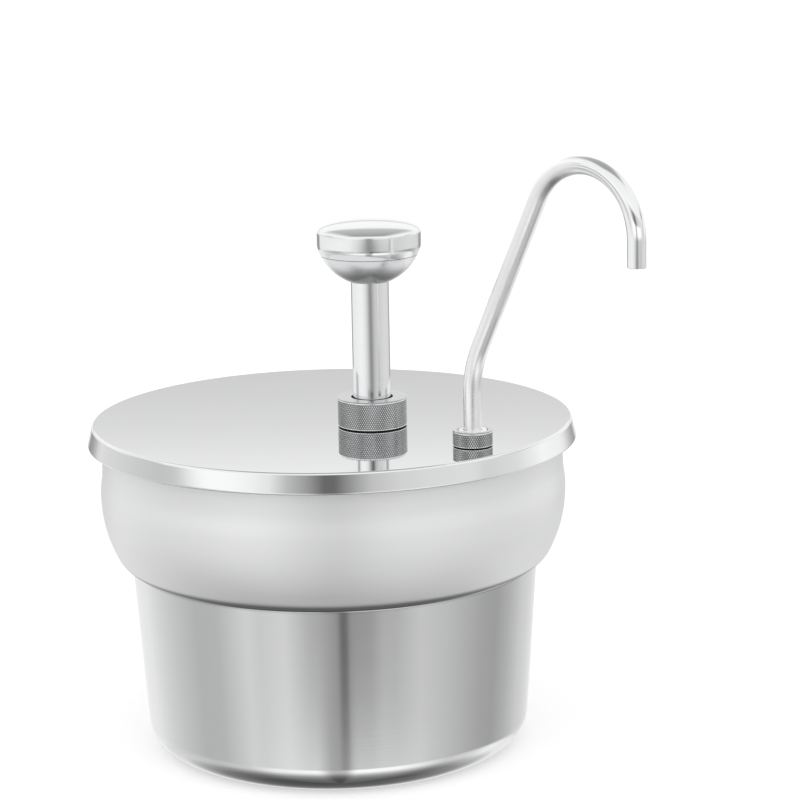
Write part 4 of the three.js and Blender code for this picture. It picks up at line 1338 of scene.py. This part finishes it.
class DISPENSER_OT_unions(PieceOperator, bpy.types.Operator):
    """Models the discharge cap, the two union nuts and the spout's fitting"""

    bl_idname = "dispenser.unions"
    bl_label = "Unions"

    def make(self, settings):
        works, spout = settings.works, settings.spout
        riser = settings.pump.axis + works.spacing
        self.discharge_cap(works, spout.fit, riser)
        self.union_nut("union_nut_lower", "riser_nut_lower", works, spout.fit, riser, open_below=True)
        self.union_nut("union_nut_upper", "riser_nut_upper", works, spout.fit, spout.axis, open_below=False)
        self.spout_socket(settings.lid, works, spout)

    def neck_thread(self, works, low, high):
        return thread(works.union_neck, low, high, 1.25 * MM, 0.45 * MM)

    def discharge_cap(self, works, fit, axis):
        low, high = (corner.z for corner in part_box("discharge_cap"))
        hex_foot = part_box("valve_block")[1].z
        hex_top = hex_foot + works.cap_hex_height
        screwed, edge = 12 * MM, 0.5 * MM
        outline = rounded([
            (0, low),
            (screwed, low, edge),
            (screwed, hex_foot + MM),
            (works.union_neck, hex_foot + MM),
            *self.neck_thread(works, hex_top + MM, high - MM),
            (works.union_neck, high, edge),
            (0, high),
        ])
        stem = spun_solid("stem", outline, axis, 96)
        cap = hexagon("discharge_hexagon", axis, works.cap_hex, hex_foot, hex_top)
        modify(cap, "BOOLEAN", object=stem, operation="UNION", solver="EXACT")
        remove(stem)
        bore_down(cap, works.riser + fit, axis, hex_top, high + PAST, sides=90)
        bore_down(cap, works.riser - works.riser_wall, axis, low - PAST, hex_top + MM)
        smooth(cap)
        finish_piece(cap, "lid", materials()["turned_steel"], "satin_steel", "discharge_cap")

    def union_nut(self, name, node, works, fit, axis, open_below):
        low, high = (corner.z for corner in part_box(node))
        nut = hexagon(name, axis, works.nut_hex, low, high)
        room = (low - PAST, high - works.nut_wall) if open_below else (low + works.nut_wall, high + PAST)
        bore_down(nut, works.union_neck + fit, axis, *room)
        bore_down(nut, works.riser + fit, axis, low - PAST, high + PAST)
        smooth(nut)
        finish_piece(nut, "lid", materials()["turned_steel"], "satin_steel", node)

    def spout_socket(self, lid, works, spout):
        low, high = (corner.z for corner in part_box("spout_fitting"))
        flange = lid.top - lid.plate - works.washer
        flange_foot = flange - works.flange_height
        socket = lid.top - spout.insertion
        riser_top = socket - works.fitting_web
        riser_room, spout_room = works.riser + spout.fit, spout.tube + spout.fit
        passage = spout.tube - spout.wall
        edge = 0.4 * MM
        outline = rounded([
            (riser_room, low + 2 * MM),
            (riser_room, low, edge),
            (works.union_neck, low, edge),
            *self.neck_thread(works, low + MM, low + 9 * MM),
            (works.union_neck, flange_foot, 0.8 * MM),
            (works.fitting_flange, flange_foot, edge),
            (works.fitting_flange, flange, edge),
            (works.fitting_neck, flange),
            (works.fitting_neck, high, edge),
            (spout_room, high, edge),
            (spout_room, socket),
            (passage, socket),
            (passage, riser_top),
            (riser_room, riser_top),
        ])
        fitting = spun_solid("spout_socket", outline, spout.axis, 96)
        smooth(fitting)
        finish_piece(fitting, "lid", materials()["fitting_steel"], "satin_steel", "spout_fitting")


class DISPENSER_OT_riser(PieceOperator, bpy.types.Operator):
    """Models the riser that carries the sauce from the valve block to the spout"""

    bl_idname = "dispenser.riser"
    bl_label = "Riser"

    def make(self, settings):
        works, spout = settings.works, settings.spout
        x = settings.pump.axis + works.spacing
        foot, top = (corner.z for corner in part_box("riser_tube"))
        past = spout.fit + works.nut_wall + works.riser_land
        lower, upper = works.union_length + past, works.riser_insertion + past
        sideways, rise = spout.axis - x, top - foot - lower - upper
        bend = works.bend_share * (sideways**2 + rise**2) / (4 * sideways)
        apart_by = math.hypot(sideways - 2 * bend, rise)
        slope = math.sqrt(apart_by**2 - (2 * bend) ** 2)
        lean = math.atan2(sideways - 2 * bend, rise) + math.asin(2 * bend / apart_by)
        moves = [(lower,), (bend, lean), (slope,), (bend, -lean), (upper,)]
        tube = bent_tube("riser_pipe", (x, 0, foot), moves, works.riser, works.riser_wall, 48)
        finish_piece(tube, "lid", materials()["spout_steel"], "polished_steel", "riser_tube")


class DISPENSER_OT_spring(PieceOperator, bpy.types.Operator):
    """Models the return spring at rest; in use it shortens as the plunger goes down"""

    bl_idname = "dispenser.spring"
    bl_label = "Spring"

    def make(self, settings):
        works, axis = settings.works, settings.pump.axis
        low, high = (corner.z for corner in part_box("return_spring"))
        wire = works.spring_wire
        coil = works.bore - works.spring_clearance - wire
        deselect()
        bpy.ops.mesh.primitive_circle_add(
            vertices=16, radius=wire, location=(coil, 0, low + wire), rotation=(math.pi / 2, 0, 0)
        )
        piece = named("spring_wire")
        pitch = (high - low - 2 * wire) / works.spring_curls
        modify(piece, "SCREW", screw_offset=pitch, iterations=works.spring_curls, steps=32, render_steps=32)
        edit_all()
        bpy.ops.mesh.fill_holes(sides=0)
        bpy.ops.mesh.select_all(action="SELECT")
        bpy.ops.transform.translate(value=(axis, 0, 0))
        close_up()
        smooth(piece)
        finish_piece(piece, "lid", materials()["wire_steel"], "satin_steel", "return_spring")
        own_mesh(piece)


# The tent's light as (angle in degrees, grey). Round the pot, 0 is towards the camera and 90 is to
# the camera's right. Well below the horizon:
LIGHT_BELOW = [
    (-180, 0.95), (-139, 0.93), (-109, 0.69), (-87, 0.54), (-72, 0.55), (-52, 0.77), (-44, 0.7),
    (-29, 0.76), (-15, 0.5), (-5, 0.42), (2, 0.33), (3.6, 0.13), (7, 0.13), (8.6, 0.3), (21, 0.35),
    (28, 0.48), (36, 0.5), (51, 0.67), (67, 0.61), (95, 0.44), (107, 0.41), (120, 0.52), (136, 0.7),
    (164, 0.85), (180, 0.95),
]
# Just below the horizon:
LIGHT_LEVEL = [
    (-180, 0.9), (-166, 0.9), (-158, 0.35), (-144, 0.35), (-134, 0.95), (-64, 1.05), (-44, 1.0),
    (-26, 0.82), (-17, 0.66), (-8, 0.45), (-2, 0.33), (4, 0.33), (11, 0.42), (19, 0.56), (29, 0.67),
    (42, 0.7), (48, 0.48), (54, 0.72), (72, 0.77), (96, 0.82), (134, 0.78), (144, 0.38),
    (158, 0.38), (166, 0.9), (180, 0.9),
]
# At the horizon:
LIGHT_BETWEEN = [
    (-180, 0.95), (-120, 0.8), (-85, 0.65), (-60, 0.75), (-40, 1.1), (-12, 1.25), (-4, 0.6),
    (5, 0.6), (12, 1.3), (40, 1.25), (55, 1.05), (74, 0.75), (95, 0.85), (115, 1.1), (140, 1.0),
    (180, 0.95),
]
# Just above the horizon:
LIGHT_ABOVE = [
    (-180, 0.9), (-135, 0.95), (-93, 1.1), (-70, 1.18), (-46, 1.14), (-37, 1.06), (-28, 0.93),
    (-20, 0.6), (-11, 0.4), (-3, 0.17), (2, 0.17), (10, 0.39), (19, 0.64), (32, 0.77), (45, 0.83),
    (75, 0.88), (117, 0.94), (180, 0.9),
]
# Over the pot, where 0 is the horizon behind it and 90 is overhead:
LIGHT_OVER = [
    (-180, 0.9), (-90, 0.9), (-10, 1.05), (9.5, 1.05), (11, 0.66), (12.2, 0.68), (12.4, 0.72),
    (12.8, 0.83), (13.2, 0.94), (13.7, 1.0), (15, 1.08), (31, 1.08), (37, 0.62), (60, 0.48),
    (88, 0.4), (97, 0.5), (105, 1.0), (160, 1.12), (180, 0.9),
]
# Far below the horizon, as (share of the way to straight down, share of the light at the horizon):
LIGHT_DEEP = [(0, 0.98), (0.42, 0.95), (0.5, 0.6), (0.6, 0.3), (0.75, 0.15), (1, 0.1)]
# The heights in degrees at which one of these gives way to the next
DEEP_TO_BELOW = (-30.0, -26.0)
BELOW_TO_LEVEL = (-17.0, -14.0)
LEVEL_TO_BETWEEN = (-9.0, -2.0)
BETWEEN_TO_ABOVE = (7.0, 10.0)
SIDES_TO_OVER = (7.0, 17.0)
# The light over the pot rises towards the camera by this many degrees, and is even beyond these
OVER_TILT = 13.0
EVEN_ASIDE = (0.25, 0.6)
EVEN_ABOVE = (15.0, 25.0)
EVEN_LIGHT = 1.05


class DISPENSER_OT_stage(PieceOperator, bpy.types.Operator):
    """Sets up the pale floor, the soft studio light and the camera"""

    bl_idname = "dispenser.stage"
    bl_label = "Stage"

    def make(self, settings):
        self.floor(settings.stage)
        self.studio(settings.stage)
        self.camera(settings.stage, settings.lid.top)

    def floor(self, look):
        deselect()
        bpy.ops.mesh.primitive_grid_add(x_subdivisions=8, y_subdivisions=8, size=40, location=(0, 0, 0))
        floor = named("floor")
        floor.visible_glossy = False
        floor.visible_shadow = False
        material = bpy.data.materials.new("floor")
        material.use_nodes = True
        w = Wiring(material.node_tree)
        surface = material.node_tree.nodes["Principled BSDF"]
        surface.inputs["Base Color"].default_value = (*look.floor, 1)
        surface.inputs["Roughness"].default_value = 0.9
        surface.inputs["Specular IOR Level"].default_value = 0.1
        surface.inputs["Emission Color"].default_value = (1, 1, 1, 1)
        path = w.node("ShaderNodeLightPath")
        lift = w.math("MULTIPLY", path.outputs["Is Camera Ray"], look.lift)
        w.link(lift, surface.inputs["Emission Strength"])
        floor.data.materials.append(material)

    def studio(self, look):
        """A light tent in the world: pale all round, with the darker gaps that shape steel."""
        world = bpy.data.worlds.new("studio")
        bpy.context.scene.world = world
        world.use_nodes = True
        w = Wiring(world.node_tree)
        shown = world.node_tree.nodes["Background"]
        place = w.node("ShaderNodeTexCoord")
        way = w.vector("NORMALIZE", place.outputs["Generated"])
        az = look.azimuth
        toward = w.vector("DOT_PRODUCT", way, (math.sin(az), -math.cos(az), 0), output=1)
        right = w.vector("DOT_PRODUCT", way, (math.cos(az), math.sin(az), 0), output=1)
        up = w.vector("DOT_PRODUCT", way, (0, 0, 1), output=1)
        around = self.turn(w, right, toward)
        over = self.turn(w, up, w.math("MULTIPLY", toward, -1))
        height = w.math("DEGREES", w.math("ARCSINE", up))
        below, level, between, above = (
            self.ring(w, around, light) for light in (LIGHT_BELOW, LIGHT_LEVEL, LIGHT_BETWEEN, LIGHT_ABOVE)
        )
        deep = w.math("MULTIPLY", w.ramp(w.math("DIVIDE", height, -90), LIGHT_DEEP), between)
        sides = w.blend(self.past(w, height, DEEP_TO_BELOW), deep, below)
        sides = w.blend(self.past(w, height, BELOW_TO_LEVEL), sides, level)
        sides = w.blend(self.past(w, height, LEVEL_TO_BETWEEN), sides, between)
        sides = w.blend(self.past(w, height, BETWEEN_TO_ABOVE), sides, above)
        aside = self.past(w, w.math("ABSOLUTE", right), EVEN_ASIDE)
        even = w.math("MULTIPLY", aside, self.past(w, height, EVEN_ABOVE))
        overhead = w.blend(even, self.ring(w, over, LIGHT_OVER), (EVEN_LIGHT, EVEN_LIGHT, EVEN_LIGHT, 1))
        tilted = w.math("SUBTRACT", height, w.math("MULTIPLY", toward, OVER_TILT))
        tent = w.blend(self.past(w, tilted, SIDES_TO_OVER), sides, overhead)
        path = w.node("ShaderNodeLightPath")
        w.link(w.blend(path.outputs["Is Camera Ray"], tent, (1, 1, 1, 1)), shown.inputs["Color"])
        shown.inputs["Strength"].default_value = 1.0

    def turn(self, w, side, front):
        """An angle as a share of a circle, with the front at a half."""
        return w.math("ADD", w.math("DIVIDE", w.math("ARCTAN2", side, front), 2 * math.pi), 0.5)

    def past(self, w, value, span):
        """0 before a span, 1 after it."""
        return w.steps(value, 0.0, 1.0, *span)

    def ring(self, w, turn, light):
        """Light by an angle, from a table in degrees."""
        return w.ramp(turn, [(0.5 + degrees / 360, grey) for degrees, grey in light])

    def camera(self, look, lid_top):
        """The camera stands where the photograph was taken from."""
        az, el, roll = look.azimuth, look.elevation, look.roll
        right = Vector((math.cos(az), math.sin(az), 0))
        forward = Vector((-math.sin(az) * math.cos(el), math.cos(az) * math.cos(el), -math.sin(el)))
        up = right.cross(forward)
        place = look.side * right + look.height * up - look.distance * forward + Vector((0, 0, lid_top))
        tilted_right = math.cos(roll) * right - math.sin(roll) * up
        tilted_up = math.sin(roll) * right + math.cos(roll) * up
        turn = Matrix((tilted_right, tilted_up, -forward)).transposed().to_4x4()
        deselect()
        bpy.ops.object.camera_add()
        camera = bpy.context.object
        camera.name = "camera"
        camera.data.lens = look.lens
        camera.data.sensor_width = 36
        camera.data.clip_start, camera.data.clip_end = 0.05, 100
        camera.matrix_world = Matrix.Translation(place) @ turn
        bpy.context.scene.camera = camera
        bpy.context.scene.view_settings.view_transform = "Standard"


class DISPENSER_PT_panel(bpy.types.Panel):
    """Lists the operators in the order in which they run"""

    bl_idname = "DISPENSER_PT_panel"
    bl_label = "Sauce Dispenser"
    bl_space_type = "VIEW_3D"
    bl_region_type = "UI"
    bl_category = "Dispenser"

    def draw(self, context):
        for operator in OPERATORS:
            self.layout.operator(operator.bl_idname)
        for group in ("pot", "lid", "pump", "spout", "works", "finish", "stage"):
            box = self.layout.box()
            box.label(text=group.capitalize())
            settings = getattr(context.scene.dispenser, group)
            for name in settings.__annotations__:
                box.prop(settings, name)


GROUPS = [PotSizes, LidSizes, PumpSizes, SpoutSizes, WorksSizes, FinishLook, StageLook, DispenserSettings]
OPERATORS = [
    DISPENSER_OT_finishes,
    DISPENSER_OT_pot,
    DISPENSER_OT_lid,
    DISPENSER_OT_gaskets,
    DISPENSER_OT_collar,
    DISPENSER_OT_plunger,
    DISPENSER_OT_knob,
    DISPENSER_OT_spout_nut,
    DISPENSER_OT_spout,
    DISPENSER_OT_cylinder,
    DISPENSER_OT_valve_block,
    DISPENSER_OT_unions,
    DISPENSER_OT_riser,
    DISPENSER_OT_spring,
    DISPENSER_OT_stage,
]


def register():
    for cls in [*GROUPS, *OPERATORS, DISPENSER_PT_panel]:
        bpy.utils.register_class(cls)
    bpy.types.Scene.dispenser = PointerProperty(type=DispenserSettings)


def unregister():
    del bpy.types.Scene.dispenser
    for cls in reversed([*GROUPS, *OPERATORS, DISPENSER_PT_panel]):
        bpy.utils.unregister_class(cls)


def main():
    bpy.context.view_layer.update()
    register()
    bpy.ops.dispenser.finishes()
    bpy.ops.dispenser.pot()
    bpy.ops.dispenser.lid()
    bpy.ops.dispenser.gaskets()
    bpy.ops.dispenser.collar()
    bpy.ops.dispenser.plunger()
    bpy.ops.dispenser.knob()
    bpy.ops.dispenser.spout_nut()
    bpy.ops.dispenser.spout()
    bpy.ops.dispenser.cylinder()
    bpy.ops.dispenser.valve_block()
    bpy.ops.dispenser.unions()
    bpy.ops.dispenser.riser()
    bpy.ops.dispenser.spring()
    bpy.ops.dispenser.stage()


if __name__ == "__main__":
    main()
